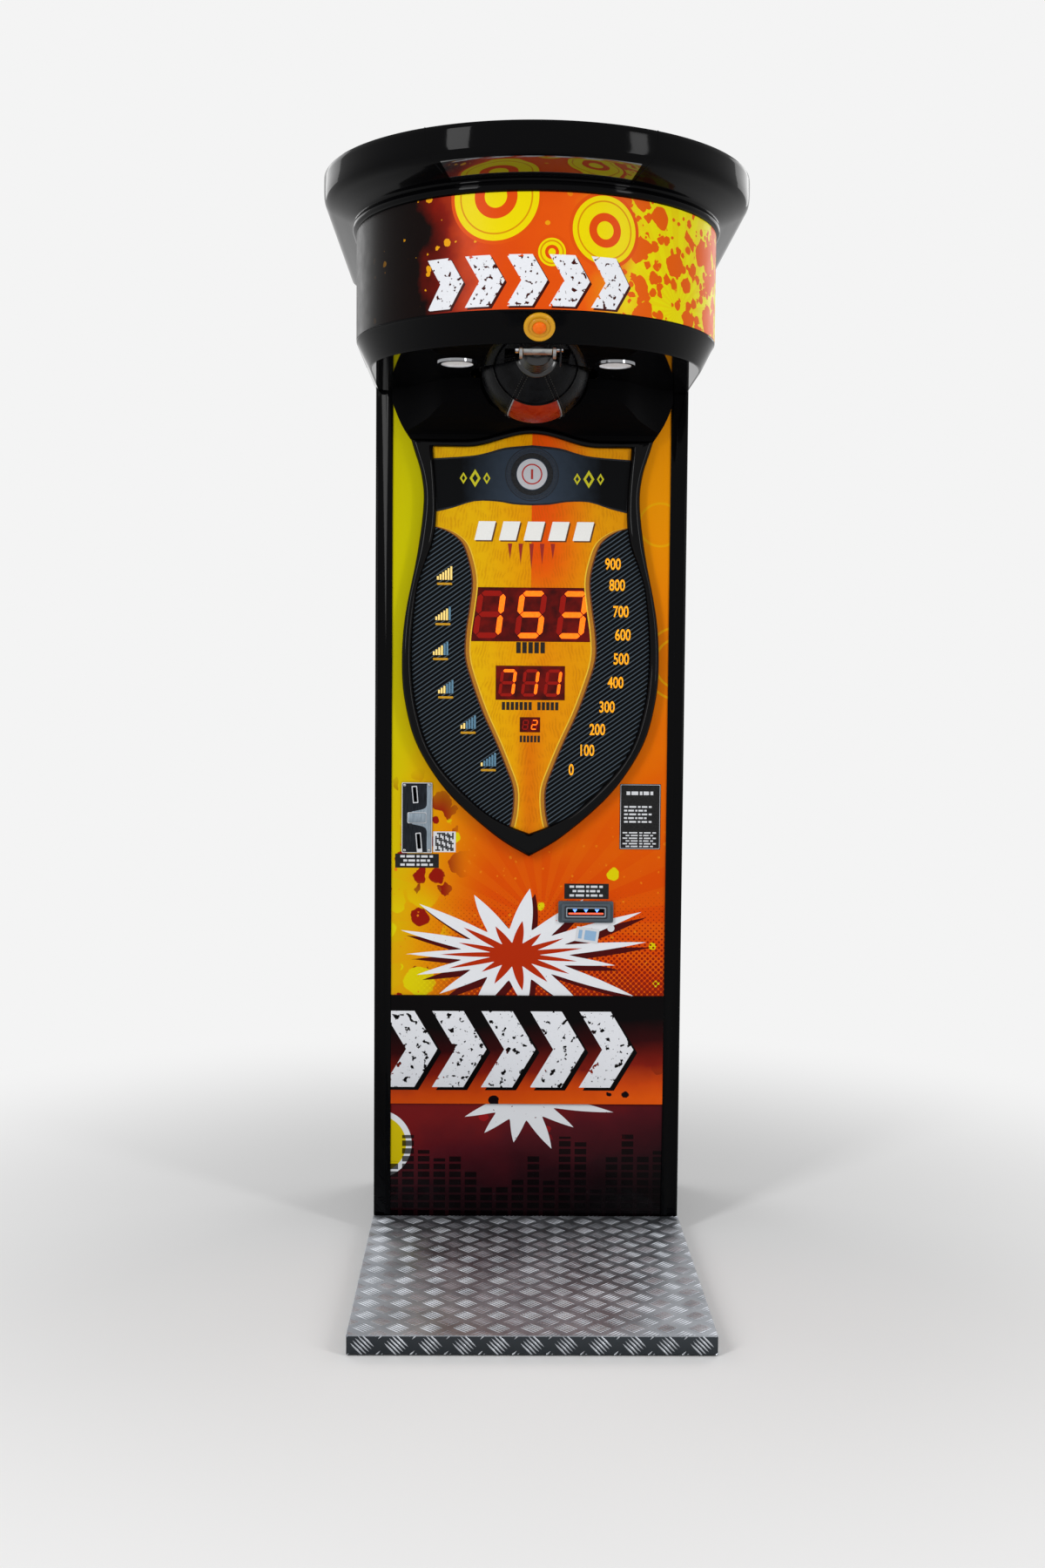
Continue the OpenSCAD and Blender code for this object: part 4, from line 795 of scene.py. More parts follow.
def fascia_print():
    """Printed polycarbonate window: gold left, orange right, with a fine moire ripple."""
    made, tree, art = art_on("score_window_print")
    shade = art.add("ValToRGB", {0: art.across * 1.8 + 0.5}, stops=[
        (0.0, "#D8A60C"), (0.3, "#E2AE0A"), (0.45, "#E39C06"), (0.55, "#E28C08"),
        (0.75, "#E09808"), (1.0, "#DC8C08")])
    ember = art.fade(art.across, -0.5 * MM, 0.5 * MM) * art.fade(art.up, 1.36, 1.56)
    shade = art.over(shade, ember * art.fade(art.across, 0.17, 0.02), "#E4500A")
    broad = art.across.work("ABSOLUTE")
    heat = art.fade(broad, 0.04, 0.0) * art.fade(art.up, 1.3, 1.1)
    shade = art.over(shade, heat * 0.6, "#D65A06")
    bend = art.up * 0.16 + (art.noise(50 * MM) * 0.03 + broad)
    wave = (bend * (2 * math.pi / (7 * MM))).work("SINE")
    patch = art.fade(art.noise(24 * MM, 2.0, 3.0), 0.4, 0.6)
    shade = art.over(shade, (wave * 0.16 + 0.16) * patch, "#B05404")
    return print_gloss(made, tree, shade, "score_fascia")


# Settings

def colour(name, code, description):
    """A colour that a user would change, from its sRGB hex."""
    return bpy.props.FloatVectorProperty(name=name, default=linear(code), size=4, min=0.0,
                                         max=1.0, subtype="COLOR", description=description)


class ArcadeTread(bpy.types.PropertyGroup):
    """Sizes of the raised pattern on the tread plate"""
    pitch: bpy.props.FloatProperty(name="Cluster pitch", default=64 * MM, unit="LENGTH",
                                   description="Distance between clusters that lean alike")
    length: bpy.props.FloatProperty(name="Bar length", default=37 * MM, unit="LENGTH",
                                    description="Length of each raised bar")
    width: bpy.props.FloatProperty(name="Bar width", default=3.8 * MM, unit="LENGTH",
                                   description="Width of each raised bar")
    spacing: bpy.props.FloatProperty(name="Bar spacing", default=6.6 * MM, unit="LENGTH",
                                     description="Distance between a cluster's bars")
    rise: bpy.props.FloatProperty(name="Bar rise", default=1.5 * MM, unit="LENGTH",
                                  description="Height of each bar over the sheet")


class ArcadeBall(bpy.types.PropertyGroup):
    """Sizes and colours of the ball"""
    gores: bpy.props.IntProperty(name="Gores", default=6, min=4, max=8,
                                 description="Number of leather gores round the ball")
    puff: bpy.props.FloatProperty(name="Puff", default=4 * MM, unit="LENGTH",
                                  description="How far the stuffing swells each gore")
    piping: bpy.props.FloatProperty(name="Piping radius", default=1.5 * MM, unit="LENGTH",
                                    description="Radius of the piping in the seams")
    stitch: bpy.props.FloatProperty(name="Stitch pitch", default=6 * MM, unit="LENGTH",
                                    description="Distance between stitches")
    hide: colour("Hide", "#050506", "Colour of the dark leather")
    rubbed: colour("Rubbed hide", "#111215", "Colour of the dark leather's paler patches")
    target: colour("Target", "#8C1C06", "Colour of the gore that faces the player")
    hit: colour("Rubbed target", "#A83210", "Colour of that gore's paler patches")


class ArcadeScore(bpy.types.PropertyGroup):
    """Numbers on the displays and their colour"""
    score: bpy.props.StringProperty(name="Score", default="153",
                                    description="Digits on the score display")
    best: bpy.props.StringProperty(name="Best", default="711",
                                   description="Digits on the best-score display")
    credit: bpy.props.StringProperty(name="Credit", default="2",
                                     description="Digit on the credit display")
    slant: bpy.props.FloatProperty(name="Slant", default=math.radians(7), unit="ROTATION",
                                   description="Lean of the digits")
    lit: colour("Lit", "#FF5208", "Colour of the lit segments")


class ArcadeStage(bpy.types.PropertyGroup):
    """Light and floor"""
    key: bpy.props.FloatProperty(name="Key lamp", default=62.0, unit="POWER",
                                 description="Power of the large lamp at the front left")
    fill: bpy.props.FloatProperty(name="Fill lamp", default=34.0, unit="POWER",
                                  description="Power of the lamp at the front right")
    back: bpy.props.FloatProperty(name="Back lamps", default=36.0, unit="POWER",
                                  description="Power of each lamp behind the machine")
    sky: bpy.props.FloatProperty(name="Surround", default=0.5,
                                 description="Strength of the pale surround on dull surfaces")


class ArcadeSettings(bpy.types.PropertyGroup):
    """All settings of the machine's dress"""
    tread: bpy.props.PointerProperty(type=ArcadeTread)
    ball: bpy.props.PointerProperty(type=ArcadeBall)
    score: bpy.props.PointerProperty(type=ArcadeScore)
    stage: bpy.props.PointerProperty(type=ArcadeStage)


# Camera and stage

class ARCADE_OT_camera(bpy.types.Operator):
    """Sets up the camera in front of the machine at chest height"""
    bl_idname = "arcade.camera"
    bl_label = "Camera"

    def execute(self, context):
        # Fitted to the straight edges of the front panels and the tread plate
        yaw, pitch, roll = math.radians(0.952), math.radians(3.527), math.radians(0.471)
        ahead = Vector((math.sin(yaw) * math.cos(pitch), math.cos(yaw) * math.cos(pitch),
                        -math.sin(pitch)))
        right = Vector((math.cos(yaw), -math.sin(yaw), 0))
        up = right.cross(ahead)
        side = right * math.cos(roll) + up * math.sin(roll)
        top = up * math.cos(roll) - right * math.sin(roll)
        data = bpy.data.cameras.new("camera")
        data.sensor_width = 36.0
        data.lens = 38.99
        camera = bpy.data.objects.new("camera", data)
        context.scene.collection.objects.link(camera)
        axes = Matrix((side, top, -ahead)).transposed().to_4x4()
        camera.matrix_world = Matrix.Translation((-0.0792, -3.711, 1.271)) @ axes
        context.scene.camera = camera
        return {"FINISHED"}


class ARCADE_OT_stage(bpy.types.Operator):
    """Lays the pale floor and sets up the surround and the lamps"""
    bl_idname = "arcade.stage"
    bl_label = "Stage"

    def execute(self, context):
        settings = context.scene.arcade.stage
        context.scene.view_settings.view_transform = "Standard"
        world = bpy.data.worlds.new("surround")
        context.scene.world = world
        world.use_nodes = True
        tree = world.node_tree
        tree.nodes.clear()
        dull = add(tree, "Background", {"Color": linear("#FFFFFF"), "Strength": settings.sky})
        seen = add(tree, "Background", {"Color": linear("#F4F4F4"), "Strength": 1.0})
        add(tree, "OutputWorld", {"Surface": add(tree, "MixShader", {
            0: self.seen_rays(tree), 1: dull, 2: seen})})
        self.floor()
        aim = middle("front_panel_upper")
        for name, place, wide, tall, power in (
                ("key_lamp", (-2.3, -3.0, 2.6), 0.7, 2.4, settings.key),
                ("fill_lamp", (2.5, -2.4, 2.2), 0.5, 2.2, settings.fill),
                ("left_back_lamp", (-3.2, 3.4, 3.6), 2.4, 2.4, settings.back),
                ("right_back_lamp", (3.2, 3.4, 3.2), 2.4, 2.4, settings.back)):
            data = bpy.data.lights.new(name, "AREA")
            data.shape = "RECTANGLE"
            data.size, data.size_y = wide, tall
            data.energy = power
            lamp = bpy.data.objects.new(name, data)
            context.scene.collection.objects.link(lamp)
            lamp.location = place
            lamp.rotation_mode = "QUATERNION"
            lamp.rotation_quaternion = (aim - Vector(place)).to_track_quat("-Z", "Y")
        return {"FINISHED"}

    def seen_rays(self, tree):
        """1 for the rays that see the surround: straight on, mirrored or through glass."""
        camera = add(tree, "LightPath", out="Is Camera Ray")
        glossy = add(tree, "LightPath", out="Is Glossy Ray")
        through = add(tree, "LightPath", out="Is Transmission Ray")
        seen = add(tree, "Math", {0: camera, 1: glossy}, operation="MAXIMUM")
        return add(tree, "Math", {0: seen, 1: through}, operation="MAXIMUM")

    def floor(self):
        """A pale floor that keeps the machine's shadow and fades into the surround."""
        bpy.ops.mesh.primitive_circle_add(vertices=96, radius=14, fill_type="NGON")
        floor = bpy.context.object
        floor.name = "floor"
        made, tree = new_material("pale_floor")
        place = add(tree, "TexCoord", out="Object")
        reach = add(tree, "VectorMath", {0: place}, out="Value", operation="LENGTH")
        far = add(tree, "MapRange", {0: reach, 1: 0.8, 2: 2.4},
                  interpolation_type="SMOOTHSTEP")
        far = add(tree, "Math", {0: far, 1: self.seen_rays(tree)}, operation="MULTIPLY")
        near = add(tree, "BsdfDiffuse", {"Color": linear("#EDEDED")})
        pale = add(tree, "Emission", {"Color": linear("#F4F4F4"), "Strength": 1.0})
        add(tree, "OutputMaterial", {"Surface": add(tree, "MixShader",
                                                    {0: far, 1: near, 2: pale})})
        floor.data.materials.append(made)


# Finishes of the CAD nodes

def soften(node, edge):
    """Welds a CAD node's loose triangles for smooth shading and eases its sharp edges."""
    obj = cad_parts[node]
    weld = obj.modifiers.new("weld", "WELD")
    weld.merge_threshold = 0.01 * MM
    for polygon in obj.data.polygons:
        polygon.use_smooth = True
    if edge:
        ease = obj.modifiers.new("edge", "BEVEL")
        ease.width = edge
        ease.segments = 2
        ease.limit_method = "ANGLE"
        ease.angle_limit = math.radians(30)
        ease.harden_normals = True
    else:
        split = obj.modifiers.new("split", "EDGE_SPLIT")
        split.split_angle = math.radians(30)


class ARCADE_OT_finishes(bpy.types.Operator):
    """Gives every piece of the frame its material and eases its edges"""
    bl_idname = "arcade.finishes"
    bl_label = "Finishes of the frame"

    def execute(self, context):
        ball = context.scene.arcade.ball
        finishes = (        # each with the width of its eased edges and its nodes
            (satin_laminate(), 0.0, "side_panels back_panels rear_door"),
            (gloss_black("gloss_black_abs", 0.06), 1.5 * MM, "front_posts"),
            (bpy.data.materials["gloss_black_abs"], 0.0, "head_band head_belt head_crown "
             "head_shoulders shield_frame"),
            (mirror_black("black_acrylic_sheet", 1.7), 0.0, "head_underside"),
            (moulded("matt_black_moulding", "#060607", 0.6, 0.02), 0.0, "ball_pocket"),
            (powder_coat(), 0.8 * MM, "base_rails base_crossbars head_cover power_supply"),
            # The sheet's tones are darker than the bars' as painted shade, and its last colour is
            # the lips' painted shade
            (tread_aluminium("tread_sheet", "#84888E", "#A2A6AC", 0.34, "#3A3E42"),
             0.6 * MM, "tread_plate"),
            (foot_rubber(), 0.0, "rubber_feet stop_bumper wheel_left wheel_right"),
            (bellows_rubber(), 0.0, "ball_collar"),
            (zinc_steel(), 0.0, "wheel_brackets door_hinges head_frame swing_hanger "
             "latch_hook back_screws ball_arm cash_box latch_spring"),
            (bright_chrome(), 0.0, "downlight_bezels door_lock swing_axle solenoid_plunger"),
            (brushed_bright(), 0.3 * MM, "reject_button"),
            (raw_board(), 0.0, "cabinet_shelves"),
            (frosted_lamp("opal_lamp", "#EDF1F4", 0.5), 0.0, "band_lamps"),
            (frosted_lamp("opal_lens", "#C4C6CA", 0.12), 0.0, "downlight_lenses"),
            (sintered_bronze(), 0.0, "axle_bushes"),
            (moulded("black_moulding", "#1D1D20"), 0.0, "speed_disc speed_sensor "
             "latch_solenoid coin_validators note_acceptor speaker power_inlet"),
            (moulded("white_moulding", "#D5D7DA"), 0.0, "downlight_housings"),
            (circuit_green(), 0.0, "circuit_boards"),
            (brushed_dark(), 0.0, "coin_plate"),
            (moulded("blue_grey_moulding", "#4E5962"), 0.0, "note_bezel"),
            (moulded("amber_moulding", "#D9A21A", 0.2), 0.0, "start_bezel start_button"),
            (moulded("red_rocker", "#B3201C", 0.2), 0.0, "power_rocker"),
            (leather("black_hide", ball.hide, ball.rubbed), 0.0, "ball_cover ball_filling"),
            (upper_print(), 0.0, "front_panel_upper"),
            (strip_print(), 0.5 * MM, "front_panel_strip"),
            (lower_print(), 0.5 * MM, "front_panel_lower"),
            (fascia_print(), 0.0, "score_fascia"),
            (display_lens(), 0.0, "score_displays"),
        )
        named = set()
        for finish, edge, nodes in finishes:
            for node in nodes.split():
                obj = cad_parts[node]
                obj.data.materials.clear()
                obj.data.materials.append(finish)
                soften(node, edge)
                named.add(node)
        left = set(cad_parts) - named
        if left:
            raise RuntimeError("these nodes have no finish: " + ", ".join(sorted(left)))
        return {"FINISHED"}


# Tread

class ARCADE_OT_tread(bpy.types.Operator):
    """Raises the five-bar tread pattern on the plate's top and lips"""
    bl_idname = "arcade.tread"
    bl_label = "Tread pattern"

    def execute(self, context):
        self.settings = context.scene.arcade.tread
        foot, top = low("tread_plate"), high("tread_plate")
        wide, deep, tall = top - foot
        bars = [self.sheet(wide, deep)]
        settle(bars[0], "bars", place=(0, (foot.y + top.y) / 2, top.z))
        front = self.sheet(wide, tall)
        settle(front, "bars", (90, 0, 0), (0, foot.y, (foot.z + top.z) / 2))
        bars.append(front)
        for side in (-1, 1):
            lip = self.sheet(deep, tall)
            settle(lip, "bars", (90, 0, side * 90),
                   (side * wide / 2, (foot.y + top.y) / 2, (foot.z + top.z) / 2))
            bars.append(lip)
        # The bars are a brighter copy of the sheet's aluminium: painted highlight on the raised
        # bars
        bright = tread_aluminium("tread_bars", "#9CA0A6", "#CCD0D6", 0.26)
        dress(join("tread_bars", bars), "cabinet", bright)
        return {"FINISHED"}

    def sheet(self, width, height):
        """A flat field of clusters, cut to a size about its middle."""
        settings = self.settings
        pitch, spacing = settings.pitch, settings.spacing
        bpy.ops.mesh.primitive_uv_sphere_add(segments=8, ring_count=6, radius=1)
        bar = bpy.context.object
        bar.scale = (settings.length / 2, settings.width / 2, settings.rise)
        settle(bar, "bar")
        cut(bar, (0, 0, 0), (0, 0, -1))
        settle(bar, "bar", place=(0, -2 * spacing, 0))
        modify(bar, "ARRAY", count=5, use_relative_offset=False, use_constant_offset=True,
               constant_offset_displace=(0, spacing, 0))
        other = bar.copy()
        other.data = bar.data.copy()
        bpy.context.scene.collection.objects.link(other)
        settle(bar, "bar", (0, 0, -45))
        lower = 0.35 * settings.rise     # what leans the other way stands a little lower
        settle(other, "other", (0, 0, 45), (pitch / 2, pitch / 2, -lower))
        cluster = join("cluster", [bar, other])
        across = math.ceil(width / 2 / pitch) + 1
        upward = math.ceil(height / 2 / pitch) + 1
        settle(cluster, "cluster", place=(-across * pitch, -upward * pitch, 0))
        for count, step in ((2 * across + 1, (pitch, 0, 0)), (2 * upward + 1, (0, pitch, 0))):
            modify(cluster, "ARRAY", count=count, use_relative_offset=False,
                   use_constant_offset=True, constant_offset_displace=step)
        margin = 0.8 * MM     # plain metal left at the sheet's edges
        for x, y in ((1, 0), (-1, 0), (0, 1), (0, -1)):
            cut(cluster, (x * (width / 2 - margin), y * (height / 2 - margin), 0), (x, y, 0))
        return cluster


# Head

HEAD_FRONT, HEAD_BACK = low("head_band").y, high("head_band").y
HEAD_ROUND = 350 * MM     # reach of the head's round front beyond its straight sides
FORWARD = 1.08            # the crown's overhang at the front, as a share of that at a side
SEAM_TURN = 27            # degrees from the head's front middle to each of the crown's seams
SIDE_TURN = 30            # degrees that each straight side counts for in plan_point


def plan_point(share, reach_x, reach_y):
    """A point of the head's plan: 0 and 1 are the right and left ends of its round front."""
    centre = HEAD_FRONT + HEAD_ROUND
    straight = HEAD_BACK - centre
    turn = share * 180
    if turn < 0:
        return (reach_x, centre - turn / SIDE_TURN * straight)
    if turn > 180:
        return (-reach_x, centre + (turn - 180) / SIDE_TURN * straight)
    return (reach_x * math.cos(math.radians(turn)),
            centre - reach_y * math.sin(math.radians(turn)))


PLAN = ([-1 / 6 + k / 24 for k in range(4)] + [k / 96 for k in range(97)]
        + [1 + k / 24 for k in range(1, 5)])


def wrap(name, section):
    """A section of outward reach at the side, at the front, and height, led round the head."""
    rows = [[(*plan_point(share, side, front), z) for share in PLAN]
            for side, front, z in section + section[:1]]
    return skin(name, rows, around=True)


class ARCADE_OT_head(bpy.types.Operator):
    """Forms the smooth crown, band and belt round the head"""
    bl_idname = "arcade.head"
    bl_label = "Head shells"

    def execute(self, context):
        self.side = high("head_band").x
        self.black = bpy.data.materials["gloss_black_abs"]
        self.crown()
        self.band()
        self.belt()
        return {"FINISHED"}

    def crown(self):
        """The overhanging crown: a bead, a polished soffit and a tall rounded rim."""
        foot, top = low("head_crown").z, high("head_crown").z
        out = high("head_crown").x - self.side
        outer = curve_through([(0.0, 0.0), (0.09, 0.025), (0.125, 0.085), (0.09, 0.15),
                               (0.06, 0.185), (0.1, 0.22), (0.25, 0.27), (0.45, 0.328),
                               (0.65, 0.39), (0.84, 0.455), (0.95, 0.53), (0.99, 0.62)], 4)
        rim = [(1.0, 0.72), (1.0, 0.9), (0.995, 0.965), (0.97, 0.992), (0.94, 1.0)]
        inner = [(0.9, 0.99), (0.89, 0.63), (0.7, 0.55), (0.4, 0.5), (0.1, 0.42),
                 (-0.06, 0.33), (-0.06, 0.0)]
        section = [(self.side + out * x, HEAD_ROUND + FORWARD * out * x, foot + (top - foot) * z)
                   for x, z in outer + rim + inner]
        shell = wrap("crown_shell", section)
        shell.data.materials.append(self.black)
        shell.data.materials.append(mirror_black("polished_black_acrylic", 2.0))
        for polygon in shell.data.polygons:
            # The polished part is the soffit, which looks down, between the two seams
            share = (polygon.center.z - foot) / (top - foot)
            soffit = polygon.normal.z < -0.87 and 0.2 < share < 0.5
            turn = math.atan2(polygon.center.x, HEAD_FRONT + HEAD_ROUND - polygon.center.y)
            polygon.material_index = int(soffit and abs(math.degrees(turn)) < SEAM_TURN)
        dress(shell, "cabinet", None, ["head_crown"])
        soffit_start = 14
        line = (outer + rim[:4])[soffit_start:]
        seams = [self.seam(side, line, out, foot, top) for side in (-1, 1)]
        dress(join("crown_seams", seams), "cabinet", self.black)

    def seam(self, side, line, out, foot, top):
        """A raised joint line that runs up the crown, swinging outwards as it rises."""
        steps = 8
        width = 1.2 * MM
        share = 0.5 - side * SEAM_TURN / 180
        rows = []
        for k in range(steps + 1):
            turn = 2 * math.pi * k / steps
            row = []
            for i, (x, z) in enumerate(line):
                lean = -0.012 * side * (i / 30) ** 2
                px, py = plan_point(share + lean, self.side + out * x,
                                    HEAD_ROUND + FORWARD * out * x)
                row.append((px + width * math.cos(turn), py,
                            foot + (top - foot) * z + width * math.sin(turn)))
            rows.append(row)
        return skin("seam", rows, around=True)

    def band(self):
        """The lit band, with its wrap of the print as a UV map."""
        foot, top = low("head_band").z, high("head_band").z
        wall = 4 * MM
        section = [(self.side, HEAD_ROUND, foot), (self.side, HEAD_ROUND, top),
                   (self.side - wall, HEAD_ROUND - wall, top),
                   (self.side - wall, HEAD_ROUND - wall, foot)]
        shell = wrap("band_shell", section)
        layer = shell.data.uv_layers.new(name="wrap")
        lengths = self.lengths()
        for loop in shell.data.loops:
            point = shell.data.vertices[loop.vertex_index].co
            layer.data[loop.index].uv = (self.along(point, lengths), point.z)
        dress(shell, "cabinet", band_print(), ["head_band"])

    def lengths(self):
        """Each plan point with its way round the band from the front middle."""
        points = [Vector(plan_point(share, self.side, HEAD_ROUND)) for share in PLAN]
        walked = [0.0]
        for a, b in zip(points, points[1:]):
            walked.append(walked[-1] + (b - a).length)
        return [(point, walked[-1] / 2 - way) for point, way in zip(points, walked)]

    def along(self, point, lengths):
        """Way round the band from its front middle, positive to the player's right."""
        flat = Vector((point.x, point.y))
        return min(lengths, key=lambda pair: (pair[0] - flat).length)[1]

    def belt(self):
        """The black belt under the band, drawn in towards the underside."""
        foot, top = low("head_belt").z, high("head_belt").z
        low_side, low_front = self.side - 27 * MM, HEAD_ROUND - 50 * MM
        wall, lip = 4 * MM, 5 * MM
        section = [(low_side - wall, low_front - wall, foot),
                   (low_side - 1.2 * MM, low_front - 1.2 * MM, foot),
                   (low_side, low_front, foot + 1 * MM),
                   (low_side + 2.5 * MM, low_front + 4 * MM, foot + 5 * MM),
                   (self.side - 3 * MM, HEAD_ROUND - 5.5 * MM, top - lip - 1 * MM),
                   (self.side - 0.6 * MM, HEAD_ROUND - 1.2 * MM, top - lip + 1.5 * MM),
                   (self.side, HEAD_ROUND, top - 1 * MM),
                   (self.side - 0.6 * MM, HEAD_ROUND - 0.6 * MM, top),
                   (self.side - wall, HEAD_ROUND - wall, top)]
        shell = wrap("belt_shell", section)
        cut(shell, (0, PANEL_Y - 0.5 * MM, 0), (0, 1, 0))
        dress(settle(shell, "belt_shell"), "cabinet", self.black,
              ["head_belt"])


# Shield

SHIELD_HALF = high("shield_frame").x
TIP = low("shield_frame").z
FLAT_TOP = 1786 * MM      # height of the score window's flat top edge
CREST_HALF = 150 * MM     # half the width of the crest in the shield's top edge
CREST_RISE = 30 * MM      # how far the crest stands over the flat edge beside it
FRAME_TOP = 15 * MM       # the frame's width along its top
# The frame's right edges, as shares of the shield's half width and of its height to FLAT_TOP
OUTER = [(0.934, 1.016), (0.907, 0.988), (0.855, 0.933), (0.837, 0.862), (0.886, 0.737),
         (0.976, 0.589), (1, 0.48), (0.976, 0.381), (0.875, 0.27), (0.63, 0.154),
         (0.266, 0.051), (0, 0)]
INNER = [(0.765, 1), (0.735, 0.86), (0.758, 0.775), (0.83, 0.711), (0.886, 0.646),
         (0.92, 0.518), (0.907, 0.414), (0.862, 0.338), (0.785, 0.267), (0.637, 0.198),
         (0.38, 0.119), (0.19, 0.081), (0, 0.057)]


def on_shield(points):
    """Points given as shares of the shield's half width and height, in metres."""
    return [(x * SHIELD_HALF, TIP + z * (FLAT_TOP - TIP)) for x, z in points]


def crest(up):
    """The raised middle of the shield's top edge, from the middle to the right."""
    made = []
    for k in range(16):
        x = CREST_HALF * k / 15
        made.append((x, FLAT_TOP + up + CREST_RISE * (1 + math.cos(math.pi * k / 15)) / 2))
    return made


def window_side():
    """The right side of the score window, from its top corner to its tip."""
    return curve_through(on_shield(INNER), 6)


def even(line, steps):
    """A line's points at even distances, ends included."""
    walked = [0.0]
    for a, b in zip(line, line[1:]):
        walked.append(walked[-1] + math.dist(a, b))
    made, i = [], 0
    for k in range(steps + 1):
        goal = walked[-1] * k / steps
        while i < len(line) - 2 and walked[i + 1] < goal:
            i += 1
        t = (goal - walked[i]) / (walked[i + 1] - walked[i])
        made.append(tuple(p + (q - p) * t for p, q in zip(line[i], line[i + 1])))
    return made


# The frame's section: the edge it is near (0 outer, 1 inner), its share of the rounding there
# (1 where the face is flat), and 1 at the back
ROUNDING = [1 - math.cos(math.pi * k / 14) for k in range(8)]
FRAME_SECTION = ([(0, 0, 1)] + [(0, share, 0) for share in ROUNDING]
                 + [(1, share, 0) for share in ROUNDING[::-1]] + [(1, 0, 1)])


